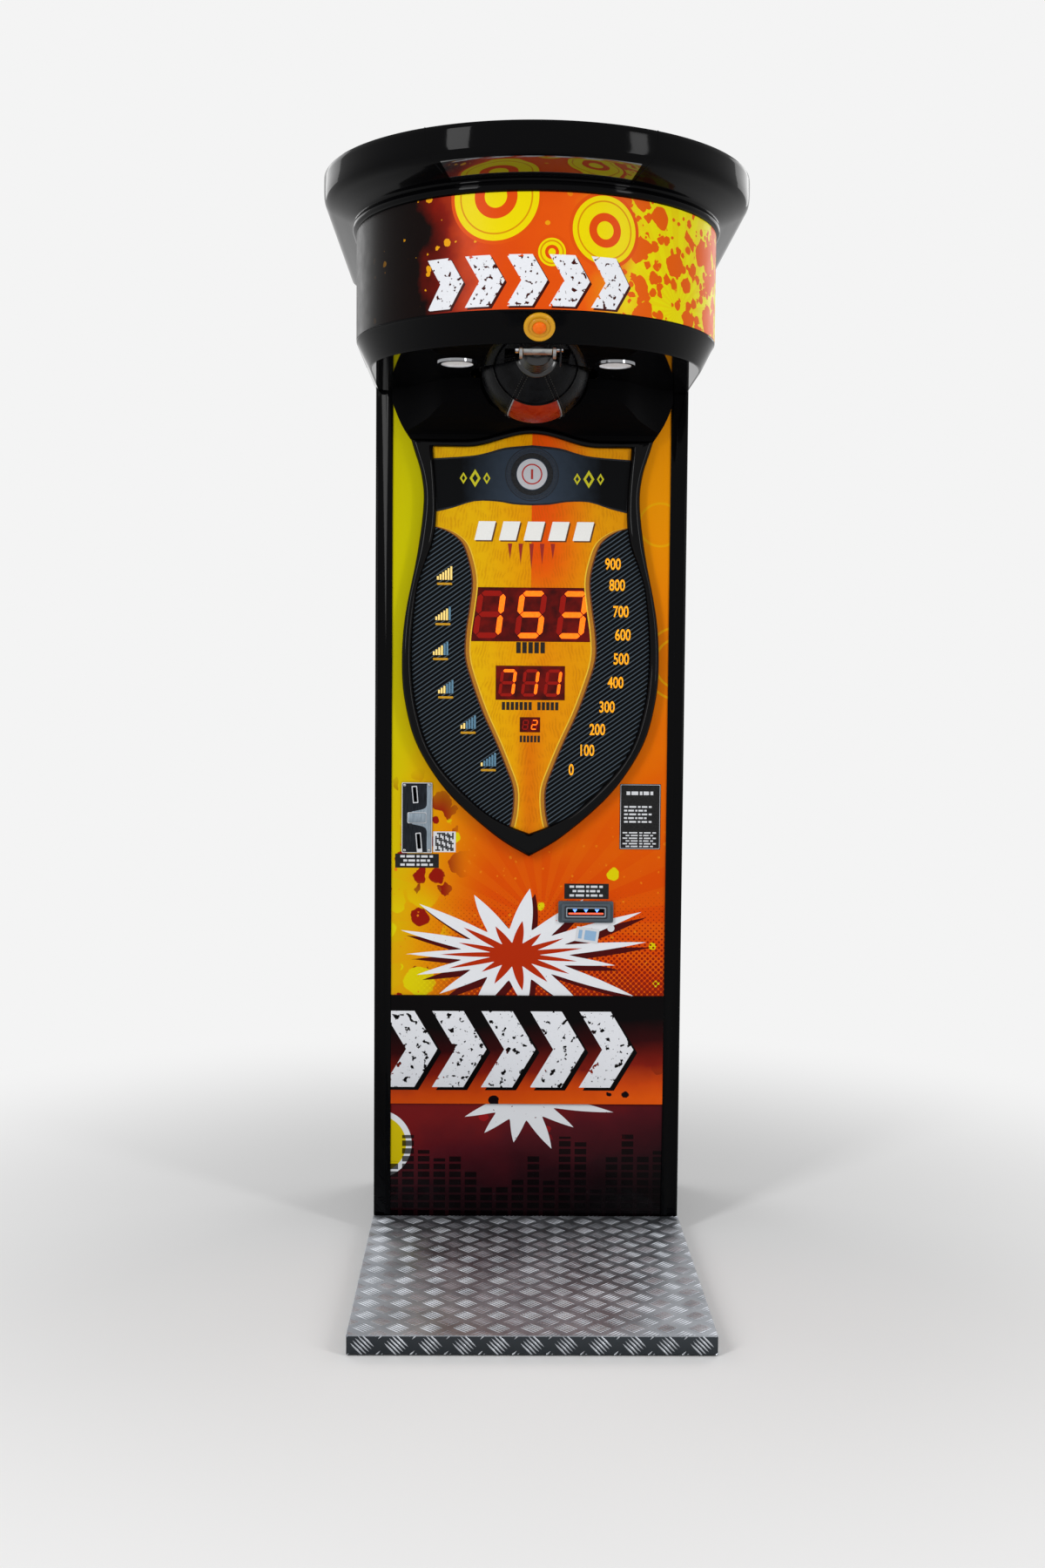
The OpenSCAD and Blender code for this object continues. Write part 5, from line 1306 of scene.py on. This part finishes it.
class ARCADE_OT_shield(bpy.types.Operator):
    """Rounds the shield's frame and lays the films, dots and numbers on its window"""
    bl_idname = "arcade.shield"
    bl_label = "Scoring shield"

    def execute(self, context):
        self.frame()
        self.wings()
        self.belt()
        self.scale()
        self.levels()
        self.labels()
        return {"FINISHED"}

    def film(self, name, outlines, finish, layer=1):
        """A printed film on the window; layer counts the films under it."""
        front = FASCIA_Y - layer * DECAL
        piece = plate(name, outlines, front, FASCIA_Y)
        return dress(piece, "cabinet", finish)

    def frame(self):
        """The black moulded frame: a round-faced section led round the window."""
        side = on_shield(OUTER)
        corner = (side[0][0], FLAT_TOP + FRAME_TOP)
        edges = []
        for up, bend, flank in ((FRAME_TOP, corner, [corner] + curve_through(side[1:], 6)),
                                (0.0, window_side()[0], window_side())):
            middle_part = crest(up)
            flat = even([middle_part[-1], bend], 8)
            edges.append(both_sides(middle_part + flat[1:] + even(flank, 90)[1:]))
        outer, inner = edges
        foot, top = low("shield_frame"), high("shield_frame")
        rounding = 13 * MM
        rows = [[] for part in FRAME_SECTION]
        for (ox, oz), (ix, iz) in zip(outer + outer[:1], inner + inner[:1]):
            wide = math.hypot(ox - ix, oz - iz)
            soft = min(rounding, 0.45 * wide)
            for row, (edge, share, back) in zip(rows, FRAME_SECTION):
                reach = (wide - share * soft if edge else share * soft) / wide
                y = top.y if back else foot.y + soft * (1 - math.sqrt(1 - (1 - share) ** 2))
                row.append((ox + (ix - ox) * reach, y, oz + (iz - oz) * reach))
        piece = skin("shield_surround", rows + rows[:1], around=True)
        dress(piece, "cabinet", gloss_black("polished_black_abs", 0.1),
              ["shield_frame"])

    def wings(self):
        """Carbon films down both sides of the window, each edged by a raised ridge with a painted
        shadow and a painted highlight.
        """
        edge = [(219, 1610), (187, 1599), (157, 1575), (141, 1534), (133, 1486), (139, 1428),
                (147, 1369), (147, 1315), (128, 1251), (106, 1192), (79, 1133), (56, 1077),
                (38, 1025), (38, 975), (45, 938)]
        line = curve_through([(x * MM, z * MM) for x, z in edge], 4)
        side = [p for p in window_side() if line[-1][1] < p[1] < line[0][1] - 4 * MM]
        wing = line + side[::-1]
        mirror = [(-x, z) for x, z in wing]
        self.film("carbon_wings", [wing, mirror], carbon_film())

        def strips(near, far):
            """A strip beside each wing, between two distances in from its edge."""
            return [[(s * (x - near * MM), z) for x, z in line]
                    + [(s * (x - far * MM), z) for x, z in line[::-1]] for s in (1, -1)]

        # Painted shadow beside each wing, then the raised ridge, then a painted highlight along
        # its inner side
        self.film("wing_painted_shadows", strips(0, 3), ink("painted_shadow_ink", "#5E2C06"), 2)
        ridge = plate("wing_ridges", strips(3, 11), FASCIA_Y - 1.6 * MM, FASCIA_Y, 0.7 * MM)
        dress(ridge, "cabinet", ink("raised_bronze", "#B0700A"))
        self.film("wing_painted_highlights", strips(11, 14), ink("painted_highlight_ink", "#F0C42C"), 2)

    def belt(self):
        """The slate band across the window's top, with its disc and diamonds."""
        top = [(0, 1792), (60, 1786), (98, 1775), (138, 1767), (222, 1761)]
        foot = [(214, 1643), (177, 1652), (128, 1667), (78, 1667), (40, 1661), (0, 1659)]
        right = (curve_through([(x * MM, z * MM) for x, z in top], 3)
                 + curve_through([(x * MM, z * MM) for x, z in foot], 3))
        outline = both_sides(right)
        self.film("slate_band", [outline], slate_print(), 2)
        inner = both_sides([(x * 0.985, 1715 * MM + (z - 1715 * MM) * 0.93) for x, z in right])
        self.film("slate_edge", [outline, inner], ink("night_ink", "#0B1016"), 3)
        centre = 1728 * MM
        for k, (radius, width, code) in enumerate((
                (60, 2.0, "#151B24"), (56, 8, "#1E2733"), (47, 11, "#0A0D12"))):
            hole = disc_outline(0, centre, (radius - width) * MM)
            self.film("disc_line_%d" % k, [disc_outline(0, centre, radius * MM), hole],
                      ink("navy_ink_%d" % k, code), 4)
        self.film("disc_face", [disc_outline(0, centre, 34 * MM)],
                  ink("pearl_ink", "#BFC1C6"), 4)
        self.film("disc_ring", [disc_outline(0, centre, 23 * MM),
                                disc_outline(0, centre, 20 * MM)],
                  ink("scarlet_ink", "#B02A26"), 5)
        self.film("disc_bar", [box_outline(0, centre, 5 * MM, 22 * MM, 1 * MM)],
                  ink("scarlet_bar_ink", "#A83430"), 5)
        diamonds = []
        for s in (-1, 1):
            for k in (-1, 0, 1):
                x, z, size = (s * 127 + 26 * k) * MM, 1718 * MM, (20 - 7 * abs(k)) * MM
                for reach in (size, size * 0.5):
                    diamonds.append([(x, z - reach), (x + reach * 0.62, z), (x, z + reach),
                                     (x - reach * 0.62, z)])
        self.film("band_diamonds", diamonds, ink("yellow_ink", "#C8C218"), 4)
        slants, pennants = [], []
        for k in range(5):
            x, z = (-112 + 55 * k) * MM, 1602 * MM
            slants.append([(x - 16 * MM, z - 21 * MM), (x + 22 * MM, z - 21 * MM),
                           (x + 32 * MM, z + 21 * MM), (x - 6 * MM, z + 21 * MM)])
            x, long = (-48 + 24 * k) * MM, (58 - 12 * abs(k - 2)) * MM
            pennants.append([(x - 5 * MM, 1574 * MM), (x + 5 * MM, 1574 * MM),
                             (x, 1574 * MM - long)])
        shade = [[(x + 3 * MM, z - 3 * MM) for x, z in slant] for slant in slants]
        self.film("slant_shadows", shade, ink("umber_shadow", "#5A3206"))
        self.film("white_slants", slants, ink("white_ink", "#F0F0EC"), 2)
        self.film("red_pennants", pennants, ink("brick_ink", "#98200E"))

    def scale(self):
        """The lit numbers of the power scale."""
        places = ((900, 183, 1529), (800, 193, 1482), (700, 202, 1423), (600, 207, 1371),
                  (500, 204, 1317), (400, 192, 1264), (300, 173, 1209), (200, 152, 1158),
                  (100, 128, 1111), (0, 94, 1067))
        made = []
        for number, x, z in places:
            bpy.ops.object.text_add()
            text = bpy.context.object
            text.data.body = str(number)
            text.data.align_x = "CENTER"
            text.data.align_y = "CENTER"
            text.data.size = 35 * MM
            text.data.offset = 0.7 * MM
            text.data.extrude = DECAL
            text.scale = (0.68, 1, 1)
            pick(text)
            bpy.ops.object.convert(target="MESH")
            made.append(settle(bpy.context.object, "number", (90, 0, 0),
                               (x * MM, FASCIA_Y - DECAL, z * MM)))
        dress(join("scale_numbers", made), "cabinet",
              glowing("amber_glow", "#E8860A", 0.5, "#F4E040"))

    def levels(self):
        """Plain level meters and their bars on the left wing."""
        places = ((-194, 1504), (-197, 1414), (-202, 1336), (-190, 1250), (-139, 1171),
                  (-93, 1087))
        lit, dim, bars = [], [], []
        for rank, (x, z) in enumerate(places):
            for k in range(6):
                tall = (8 + 4.4 * k) * MM
                middle_x = (x - 15 + 6 * k) * MM
                bar = box_outline(middle_x, z * MM - 12 * MM + tall / 2, 4.2 * MM, tall)
                (lit if k < 6 - rank else dim).append(bar)
            bars.append(box_outline(x * MM, (z - 21) * MM, 34 * MM, 5 * MM, 2 * MM))
        self.film("level_bars", lit, glowing("gold_glow", "#E8C46A", 0.4, "#F4E0A0"), 2)
        self.film("level_blanks", dim, ink("blue_grey_ink", "#5E87A0"), 2)
        self.film("level_plinths", bars, ink("ochre_ink", "#C8920C"), 2)

    def labels(self):
        """Rows of plain dark blocks under the displays."""
        blocks = []
        for z, height, width, pitch, groups in ((1342, 25, 10, 13.6, (5,)),
                                                (1211, 18, 7.2, 10, (7, 5)),
                                                (1137, 15, 5.4, 8, (6,))):
            count = sum(groups) + len(groups) - 1
            for k in range(count):
                if k == groups[0]:
                    continue
                x = (k - (count - 1) / 2) * pitch
                blocks.append(box_outline(x * MM, z * MM, width * MM, height * MM))
        self.film("label_blocks", blocks, ink("umber_ink", "#170C04"))


# Displays

SEGMENTS = {"0": "abcdef", "1": "bc", "2": "abged", "3": "abgcd", "4": "fgbc", "5": "afgcd",
            "6": "afgedc", "7": "abc", "8": "abcdefg", "9": "abcdfg"}


def segment(name, x, z, wide, tall, stroke, slant):
    """One of a digit's seven segments, as a slanted outline with pointed ends."""
    gap = stroke * 0.12
    half_w, half_h, s = wide / 2, tall / 2, stroke / 2
    levels = {"a": half_h, "g": 0.0, "d": -half_h}
    if name in levels:
        y = levels[name]
        a, b = -half_w + gap, half_w - gap
        points = [(a, y), (a + s, y + s), (b - s, y + s), (b, y), (b - s, y - s),
                  (a + s, y - s)]
    else:
        px = half_w if name in "bc" else -half_w
        a, b = (gap, half_h - gap) if name in "bf" else (-half_h + gap, -gap)
        points = [(px, a), (px - s, a + s), (px - s, b - s), (px, b), (px + s, b - s),
                  (px + s, a + s)]
    return [(x + px + pz * math.tan(slant), z + pz) for px, pz in points]


class ARCADE_OT_displays(bpy.types.Operator):
    """Lays lit and unlit segments on the three displays; the unlit ones carry a dim painted glow
    """
    bl_idname = "arcade.displays"
    bl_label = "Digits"

    def execute(self, context):
        settings = context.scene.arcade.score
        lens = low("score_displays").y
        lit, dark = [], []
        for digits, count, z, wide, tall, pitch in (
                (settings.score, 3, 1416, 50, 94, 93), (settings.best, 3, 1263, 29, 54, 51),
                (settings.credit, 2, 1169, 11, 20, 20)):
            stroke = tall * 0.13 * MM
            for k in range(count):
                digit = digits.rjust(count)[k]
                x = (k - (count - 1) / 2) * pitch
                for name in "abcdefg":
                    outline = segment(name, x * MM, z * MM, wide * MM, tall * MM, stroke,
                                      settings.slant)
                    (lit if name in SEGMENTS.get(digit, "") else dark).append(outline)
        # The unlit segments glow too: a painted glow, though they are off
        for name, outlines, finish in (
                ("lit_segments", lit, glowing("led_orange", settings.lit, 1.1, "#FFA428")),
                ("dark_segments", dark, glowing("unlit_red_painted_glow", "#6E0C06", 0.7, "#8A1208"))):
            piece = plate(name, outlines, lens - DECAL, lens)
            dress(piece, "cabinet", finish)
        return {"FINISHED"}


# Coin and note entry, stickers

PLATE_STEP = 3 * MM       # how far the coin plate's face lies behind its slots' frames


class ARCADE_OT_payment(bpy.types.Operator):
    """Adds the coin plate's frames and screws, the note entry's lamps and the stickers"""
    bl_idname = "arcade.payment"
    bl_label = "Coin and note entry"

    def execute(self, context):
        self.coin_trim()
        self.screws()
        self.note_trim()
        self.stickers()
        return {"FINISHED"}

    def coin_trim(self):
        """Bright frames round the coin slots, the raised band and the plate's bright edge."""
        centre, face = middle("coin_plate"), low("coin_plate").y
        white = ink("frame_white", "#D4D6DA")
        rings = []
        for s, tall in ((1, 39), (-1, 45)):
            x, z = centre.x - s * 4.5 * MM, centre.z + s * 53 * MM
            drop = (tall - 39) / 2 * MM
            outer = box_outline(x, z - drop, 12.4 * MM, tall * MM, 1.5 * MM)
            inner = box_outline(x, z, 8.4 * MM, 34.5 * MM, 1.5 * MM)
            rings += [tilt_outline(outline, 5, x, z) for outline in (outer, inner)]
        dress(plate("coin_slot_frames", rings, face - 1 * MM, face + 1 * MM, 0.4 * MM),
              "cabinet", white)
        face = face + PLATE_STEP
        half_wide, half_tall = 34.5 * MM, 80 * MM
        edge = [box_outline(centre.x, centre.z, 2 * (half_wide - d), 2 * (half_tall - d), 2 * MM)
                for d in (0.2 * MM, 1.7 * MM)]
        lip = [box_outline(centre.x, centre.z, w * MM, h * MM, 3.5 * MM)
               for w, h in ((43.6, 25), (40.8, 22))]
        dress(plate("coin_plate_edges", edge + lip, face - 0.5 * MM, face + 0.5 * MM),
              "cabinet", white)
        right = curve_through([(32, 77), (23, 77), (22.4, 40), (21.4, 27), (14, 20),
                               (-8, 15), (-12, 13.5)], 4)
        band = [(centre.x + x * MM, centre.z + z * MM)
                for x, z in right + [(x, -z) for x, z in right[::-1]]]
        hole = box_outline(centre.x, centre.z, 40.6 * MM, 21.8 * MM, 3 * MM)
        dress(plate("coin_plate_band", [band, hole], face - 0.45 * MM, face, 0.2 * MM),
              "cabinet", bpy.data.materials["brushed_aluminium"])

    def screws(self):
        """Domed screws at the coin plate's corners."""
        centre, face = middle("coin_plate"), low("coin_plate").y + PLATE_STEP
        profile = [(0, 0), (3.4, 0), (3.4, 0.6), (2.9, 1.3), (1.9, 1.8), (1.5, 1.9),
                   (1.3, 0.9), (0, 0.9)]
        made = []
        for sx in (-1, 1):
            for sz in (-1, 1):
                place = (centre.x + sx * 28 * MM, face, centre.z + sz * 74 * MM)
                made.append(turned("screw", profile, 24, (90, 0, 0), place))
        dress(join("coin_plate_screws", made), "cabinet",
              bpy.data.materials["zinc_plated_steel"])

    def note_trim(self):
        """The lit mouth of the note entry: a red lip and three blue lamps."""
        centre, face = middle("note_bezel"), low("note_bezel").y
        mouth = box_outline(centre.x, centre.z - 3.4 * MM, 80 * MM, 4 * MM, 1.8 * MM)
        dress(plate("note_lip", [mouth], face + 3 * MM, face + 5 * MM, 0.5 * MM), "cabinet",
              glowing("red_glow", "#E01A24", 1.0))
        lamps = []
        for k in (-1, 0, 1):
            x, z = centre.x + k * 25 * MM, centre.z + 2.5 * MM
            lamps.append([(x - 5 * MM, z + 4 * MM), (x, z - 3.4 * MM), (x + 5 * MM, z + 4 * MM)])
        dress(plate("note_lamps", lamps, face + 3 * MM, face + 5 * MM), "cabinet",
              glowing("blue_glow", "#3F7BFF", 2.2, "#A0C4FF"))
        for name, outer, inner, reach, code in (
                ("note_mouth_frame", (97, 29), (91, 23), 1.5, "#2B3036"),
                ("note_mouth_edge", (91, 23), (86, 18), 0.6, "#9CA6B0")):
            rings = [box_outline(centre.x, centre.z, w * MM, h * MM, 3 * MM)
                     for w, h in (outer, inner)]
            dress(plate(name, rings, face - reach * MM, face + 1 * MM, 0.5 * MM), "cabinet",
                  moulded(name + "_moulding", code))

    def stickers(self):
        """Plain labels on the panel: dark ones with pale lines, and pale ones."""
        white, black = ink("label_white", "#D8DADE"), ink("label_black", "#060607")
        thick = 0.35 * MM

        def label(name, outlines, finish, rank=1):
            """A label; rank counts the layers up to it."""
            front = PANEL_Y - rank * thick
            dress(plate(name, outlines, front, front + thick), "cabinet", finish)

        label("dark_labels", [box_outline(-253.5 * MM, 858 * MM, 99 * MM, 32 * MM, 1 * MM),
                              box_outline(252.5 * MM, 961.5 * MM, 93 * MM, 149 * MM, 2 * MM),
                              box_outline(132.5 * MM, 790.5 * MM, 101 * MM, 35 * MM, 1 * MM)],
              black)
        card = box_outline(-191.5 * MM, 901.5 * MM, 51 * MM, 47 * MM, 1 * MM)
        label("pale_labels", [card, disc_outline(189 * MM, 706 * MM, 8 * MM)], white)
        slip = [tilt_outline(box_outline(x * MM, z * MM, w * MM, h * MM, 1 * MM), -8,
                             135 * MM, 690 * MM)
                for x, z, w, h in ((135, 690, 52, 34), (142, 690, 26, 22), (119, 690, 8, 20))]
        label("paper_slip", slip[:1], white)
        label("slip_tint", slip[1:], ink("pale_blue_ink", "#8FB4D6"), 2)
        lines = []
        for x, z, width, count, pitch, tall in (
                (-253.5, 868, 78, 3, 9.5, 5), (132.5, 801, 80, 3, 10, 5),
                (248, 984, 66, 5, 8.5, 4), (252, 925, 80, 6, 6.2, 3), (252, 1015, 64, 1, 0, 8)):
            for k in range(count):
                # Every other line is shorter; the block of five starts at its left edge
                short = width * (0.82 if k % 2 else 1.0)
                start = x - short / 2 if count != 5 else x - width / 2
                share = 0.0
                for step in (0.16, 0.27, 0.12, 0.22, 0.13):
                    lines.append(box_outline((start + short * (share + step / 2)) * MM,
                                             (z - k * pitch) * MM, short * (step - 0.03) * MM,
                                             tall * MM))
                    share += step * 1.1
        label("label_lines", lines, white, 2)
        label("label_edge", [box_outline(252.5 * MM, 961.5 * MM, w * MM, h * MM, 2 * MM)
                             for w, h in ((90, 146), (88.2, 144.2))], white, 2)
        squares = []
        for i in range(11):
            for k in range(11):
                if (i * i * 3 + k * k * 5 + i * k * 7) % 11 < 5:
                    squares.append(box_outline((-210.5 + 3.8 * i) * MM, (882.5 + 3.8 * k) * MM,
                                               3.5 * MM, 3.5 * MM))
        label("card_squares", squares, black, 2)


# Start button

class ARCADE_OT_start(bpy.types.Operator):
    """Turns the start button's bezel and its lit cap"""
    bl_idname = "arcade.start"
    bl_label = "Start button"

    def execute(self, context):
        # The belt's front runs 50 mm out over a rise of 54 mm, and the button stands square on it
        tilt = (90 + math.degrees(math.atan2(50, 54)), 0, 0)
        face = Vector((0, -445 * MM, 1939 * MM))
        bezel = [(20.4, -28), (24, -28), (24, 0.3), (30, 0.3), (30, 3.2), (29.2, 5.0),
                 (27.4, 6.1), (25, 6.3), (23.4, 5.6), (21.6, 4.4), (20.4, 4.2)]
        piece = turned("start_ring", bezel, 72, tilt, face)
        dress(piece, "cabinet", moulded("amber_ring", "#E0A21A", 0.15),
              ["start_bezel"])
        cap = [(0, -23), (20, -23), (20, 5.2), (19.2, 6.0), (16, 6.4), (14.6, 6.2),
               (14, 5.4), (13.4, 5.2), (0, 5.2)]
        piece = turned("start_cap", cap, 72, tilt, face)
        dress(piece, "start", moulded("amber_cap", "#D9961A", 0.15),
              ["start_button"])
        lens = [(0, 5.1), (12.6, 5.1), (12.4, 6.6), (11, 8.6), (8, 10.2), (4, 11.1), (0, 11.4)]
        piece = turned("start_lens", lens, 48, tilt, face)
        dress(piece, "start", glowing("orange_lens", "#C84E0C", 0.35, "#F0901C"))
        return {"FINISHED"}


# Ball

class ARCADE_OT_ball(bpy.types.Operator):
    """Sews the leather ball: stuffed gores, piped seams, stitches and a rubber neck"""
    bl_idname = "arcade.ball"
    bl_label = "Punching ball"

    def execute(self, context):
        self.settings = context.scene.arcade.ball
        self.radius = high("ball_cover").x
        self.widest = 228 * MM         # from the pivot to the ball's widest place
        self.neck = 40 * MM            # radius of the leather where it leaves the collar
        self.neck_start = 104 * MM     # from the pivot to that place
        self.ring_at = self.widest - 0.62 * self.radius     # where the target's gore starts
        body = self.body()
        self.seams()
        self.collar()
        return {"FINISHED"}

    def outline(self, radius):
        """The ball's half outline from its neck to its tip: radius and distance."""
        arc = [(radius * math.sin(math.radians(t)),
                self.widest + radius * math.cos(math.radians(t)))
               for t in range(126, -1, -6)]
        arc[-1] = (0.0, arc[-1][1])
        neck = curve_through([(self.neck, self.neck_start),
                              (0.47 * radius, self.widest - 0.95 * radius),
                              (0.63 * radius, self.widest - 0.8 * radius), arc[0]], 5)
        return neck[:-1] + arc

    def body(self):
        """The gores, swollen by their stuffing between seams that hold."""
        settings = self.settings
        line = self.outline(self.radius - settings.puff)
        around = 12 * settings.gores
        rows = [[(r * math.cos(2 * math.pi * k / around), r * math.sin(2 * math.pi * k / around),
                  s) for k in range(around + 1)] for r, s in line]
        piece = skin("ball_leather", rows)
        self.swell(piece)
        self.crease(piece)
        modify(piece, "SUBSURF", levels=1, render_levels=1)
        piece.data.materials.clear()
        piece.data.materials.append(bpy.data.materials["black_hide"])
        piece.data.materials.append(leather("red_hide", settings.target, settings.hit, 0.12))
        for polygon in piece.data.polygons:
            polygon.use_smooth = True
            turn = math.degrees(math.atan2(polygon.center.y, polygon.center.x))
            red = abs(turn - 90) < 30 and polygon.center.z > self.ring_at
            polygon.material_index = int(red)
        settle(piece, "ball_leather", (-90, 0, 0), PIVOT, 60)
        return dress(piece, "ball", None, ["ball_cover", "ball_filling"])

    def swell(self, piece):
        """Blows the gores out with cloth pressure while the seams stay put."""
        held = piece.vertex_groups.new(name="seams")
        rest = [v.co.copy() for v in piece.data.vertices]
        gore = 360 / self.settings.gores
        for vertex in piece.data.vertices:
            x, y, z = vertex.co
            turn = math.degrees(math.atan2(y, x)) % gore
            on_seam = min(turn, gore - turn) < 1.5
            at_end = z < self.neck_start + 6 * MM or math.hypot(x, y) < 0.16 * self.radius
            if on_seam or at_end:
                held.add([vertex.index], 1.0, "REPLACE")
        cloth = piece.modifiers.new("cloth", "CLOTH")
        cloth.settings.vertex_group_mass = "seams"
        cloth.settings.use_pressure = True
        cloth.settings.uniform_pressure_force = 4.0
        cloth.settings.effector_weights.gravity = 0.0
        cloth.settings.tension_stiffness = 12.0
        cloth.settings.compression_stiffness = 12.0
        cloth.point_cache.frame_start = 1
        cloth.point_cache.frame_end = 20
        for step in range(1, cloth.point_cache.frame_end + 1):
            bpy.context.scene.frame_set(step)
        pick(piece)
        bpy.ops.object.modifier_apply(modifier="cloth")
        bpy.context.scene.frame_set(1)
        for vertex, start in zip(piece.data.vertices, rest):
            move = vertex.co - start
            if move.length > self.settings.puff:
                vertex.co = start + move.normalized() * self.settings.puff

    def crease(self, piece):
        """Draws the seams in a little and gathers the leather at the neck."""
        gore = 360 / self.settings.gores
        for vertex in piece.data.vertices:
            x, y, z = vertex.co
            reach = math.hypot(x, y)
            if reach < 1e-5:
                continue
            turn = math.degrees(math.atan2(y, x))
            near_seam = min(turn % gore, gore - turn % gore)
            draw = 1.2 * MM * max(0.0, 1 - near_seam / 3)
            gather = math.exp(-(z - self.neck_start) / (22 * MM))
            draw += 0.9 * MM * gather * (1 + math.cos(math.radians(24 * turn))) / 2
            vertex.co.x -= draw * x / reach
            vertex.co.y -= draw * y / reach

    def seams(self):
        """Piping in each seam, a sewn ring, and rows of stitches beside them."""
        settings = self.settings
        line = self.outline(self.radius - settings.puff)
        dark, pale = [], []
        for k in range(settings.gores):
            turn = 2 * math.pi * k / settings.gores
            path = [Vector((r * math.cos(turn), r * math.sin(turn), s)) for r, s in line
                    if r > 0.14 * self.radius]
            split = [p for p in path if p.z > self.ring_at]
            if k in (1, 2):     # the two seams that flank the target
                pale.append(self.tube(split))
                dark.append(self.tube([p for p in path if p not in split] + split[:1]))
            else:
                dark.append(self.tube(path))
        row = self.sew(path, 4.5 * MM)
        ring_r = max(r for r, s in line if s < self.ring_at + 4 * MM)
        ring = [Vector((ring_r * math.cos(2 * math.pi * k / 72),
                        ring_r * math.sin(2 * math.pi * k / 72), self.ring_at))
                for k in range(73)]
        dark.append(self.tube(ring))
        for name, parts, finish in (
                ("dark_piping", dark, leather("piping_hide", "#060607", "#121214")),
                ("pale_piping", pale, leather("pale_piping_hide", "#77767A", "#9C9A98"))):
            piece = settle(join(name, parts), name, (-90, 0, 0), PIVOT, 60)
            dress(piece, "ball", finish)
        rows = [row]
        for k in range(1, settings.gores):
            other = row.copy()
            other.data = row.data.copy()
            other.data.transform(Matrix.Rotation(2 * math.pi * k / settings.gores, 4, "Z"))
            bpy.context.scene.collection.objects.link(other)
            rows.append(other)
        piece = settle(join("ball_stitches", rows), "ball_stitches", (-90, 0, 0), PIVOT)
        dress(piece, "ball", ink("waxed_thread", "#4E4A44", 0.6))

    def tube(self, path):
        """A thin tube along a path."""
        rows = []
        for k in range(9):
            turn = 2 * math.pi * k / 8
            row = []
            for i, point in enumerate(path):
                ahead = (path[min(i + 1, len(path) - 1)] - path[max(i - 1, 0)]).normalized()
                out = Vector((point.x, point.y, 0)).normalized()
                out = (out - ahead * out.dot(ahead)).normalized()
                across = ahead.cross(out)
                row.append(point - out * 0.6 * MM + self.settings.piping * (
                    math.cos(turn) * out + math.sin(turn) * across))
            rows.append(row)
        return skin("tube", rows, around=True)

    def sew(self, path, offset):
        """Stitches laid on both sides of the last seam, turned to the first seam's place."""
        bpy.ops.mesh.primitive_ico_sphere_add(subdivisions=1, radius=1)
        stitch = bpy.context.object
        size = Matrix.Diagonal((1.7 * MM, 0.5 * MM, 0.5 * MM, 1))
        made = []
        way, due = 0.0, 0.0     # along the seam: where the stretch starts, and the next stitch
        flat = [Vector((math.hypot(point.x, point.y), 0, point.z)) for point in path]
        for a, b in zip(flat, flat[1:]):
            step = (b - a).length
            ahead = (b - a) / step
            out = Vector((ahead.z, 0, -ahead.x))
            while due <= way + step:
                point = a.lerp(b, (due - way) / step)
                lift = 2.4 * MM * min(1.0, point.x / self.radius)
                turn_to = Matrix((ahead, (0, 1, 0), out)).transposed().to_4x4()
                for side in (-1, 1):
                    spot = point + out * lift + Vector((0, side * offset, 0))
                    copy = stitch.copy()
                    copy.data = stitch.data.copy()
                    copy.data.transform(Matrix.Translation(spot) @ turn_to @ size)
                    bpy.context.scene.collection.objects.link(copy)
                    made.append(copy)
                due += self.settings.stitch
            way += step
        bpy.data.objects.remove(stitch)
        return join("stitch_row", made)

    def collar(self):
        """The creased rubber neck between the arm and the leather, with a rim at each end."""
        profile = [(14, 26), (30, 26), (31.6, 26.8), (32, 29), (31.6, 31.4), (29.5, 32.6)]
        for k in range(5):
            base, wide = 34 + 11.6 * k, 27.6 + 1.5 * k
            profile += [(wide, base), (wide + 1.3, base + 3.4), (wide + 1.6, base + 7.4),
                        (wide + 0.6, base + 10.4)]
        profile += [(36, 94), (40, 95.6), (42.2, 97), (43, 99), (42.6, 101.8), (41.4, 103.2),
                    (39.6, 103.8), (14, 103.8)]
        piece = turned("neck_bellows", profile, 72, (-90, 0, 0), PIVOT)
        dress(piece, "ball", bpy.data.materials["polished_rubber"],
              ["ball_collar"])


PIECES = (ARCADE_OT_camera, ARCADE_OT_stage, ARCADE_OT_finishes, ARCADE_OT_tread,
          ARCADE_OT_head, ARCADE_OT_shield, ARCADE_OT_displays, ARCADE_OT_payment,
          ARCADE_OT_start, ARCADE_OT_ball)


class ARCADE_PT_panel(bpy.types.Panel):
    """Lists the machine's settings and pieces"""
    bl_idname = "ARCADE_PT_panel"
    bl_label = "Boxing Arcade Machine"
    bl_space_type = "VIEW_3D"
    bl_region_type = "UI"
    bl_category = "Arcade"

    def draw(self, context):
        settings = context.scene.arcade
        for group in (settings.tread, settings.ball, settings.score, settings.stage):
            box = self.layout.box()
            for key in group.__annotations__:
                box.prop(group, key)
        for piece in PIECES:
            self.layout.operator(piece.bl_idname)


CLASSES = (ArcadeTread, ArcadeBall, ArcadeScore, ArcadeStage, ArcadeSettings, *PIECES,
           ARCADE_PT_panel)


def register():
    """Registers the classes and the settings."""
    for made in CLASSES:
        bpy.utils.register_class(made)
    bpy.types.Scene.arcade = bpy.props.PointerProperty(type=ArcadeSettings)


def unregister():
    """Takes the classes and the settings away."""
    del bpy.types.Scene.arcade
    for made in reversed(CLASSES):
        bpy.utils.unregister_class(made)


def main():
    """Makes the pieces in order."""
    register()
    for piece in PIECES:
        deselect()
        group, name = piece.bl_idname.split(".")
        getattr(getattr(bpy.ops, group), name)()


if __name__ == "__main__":
    main()
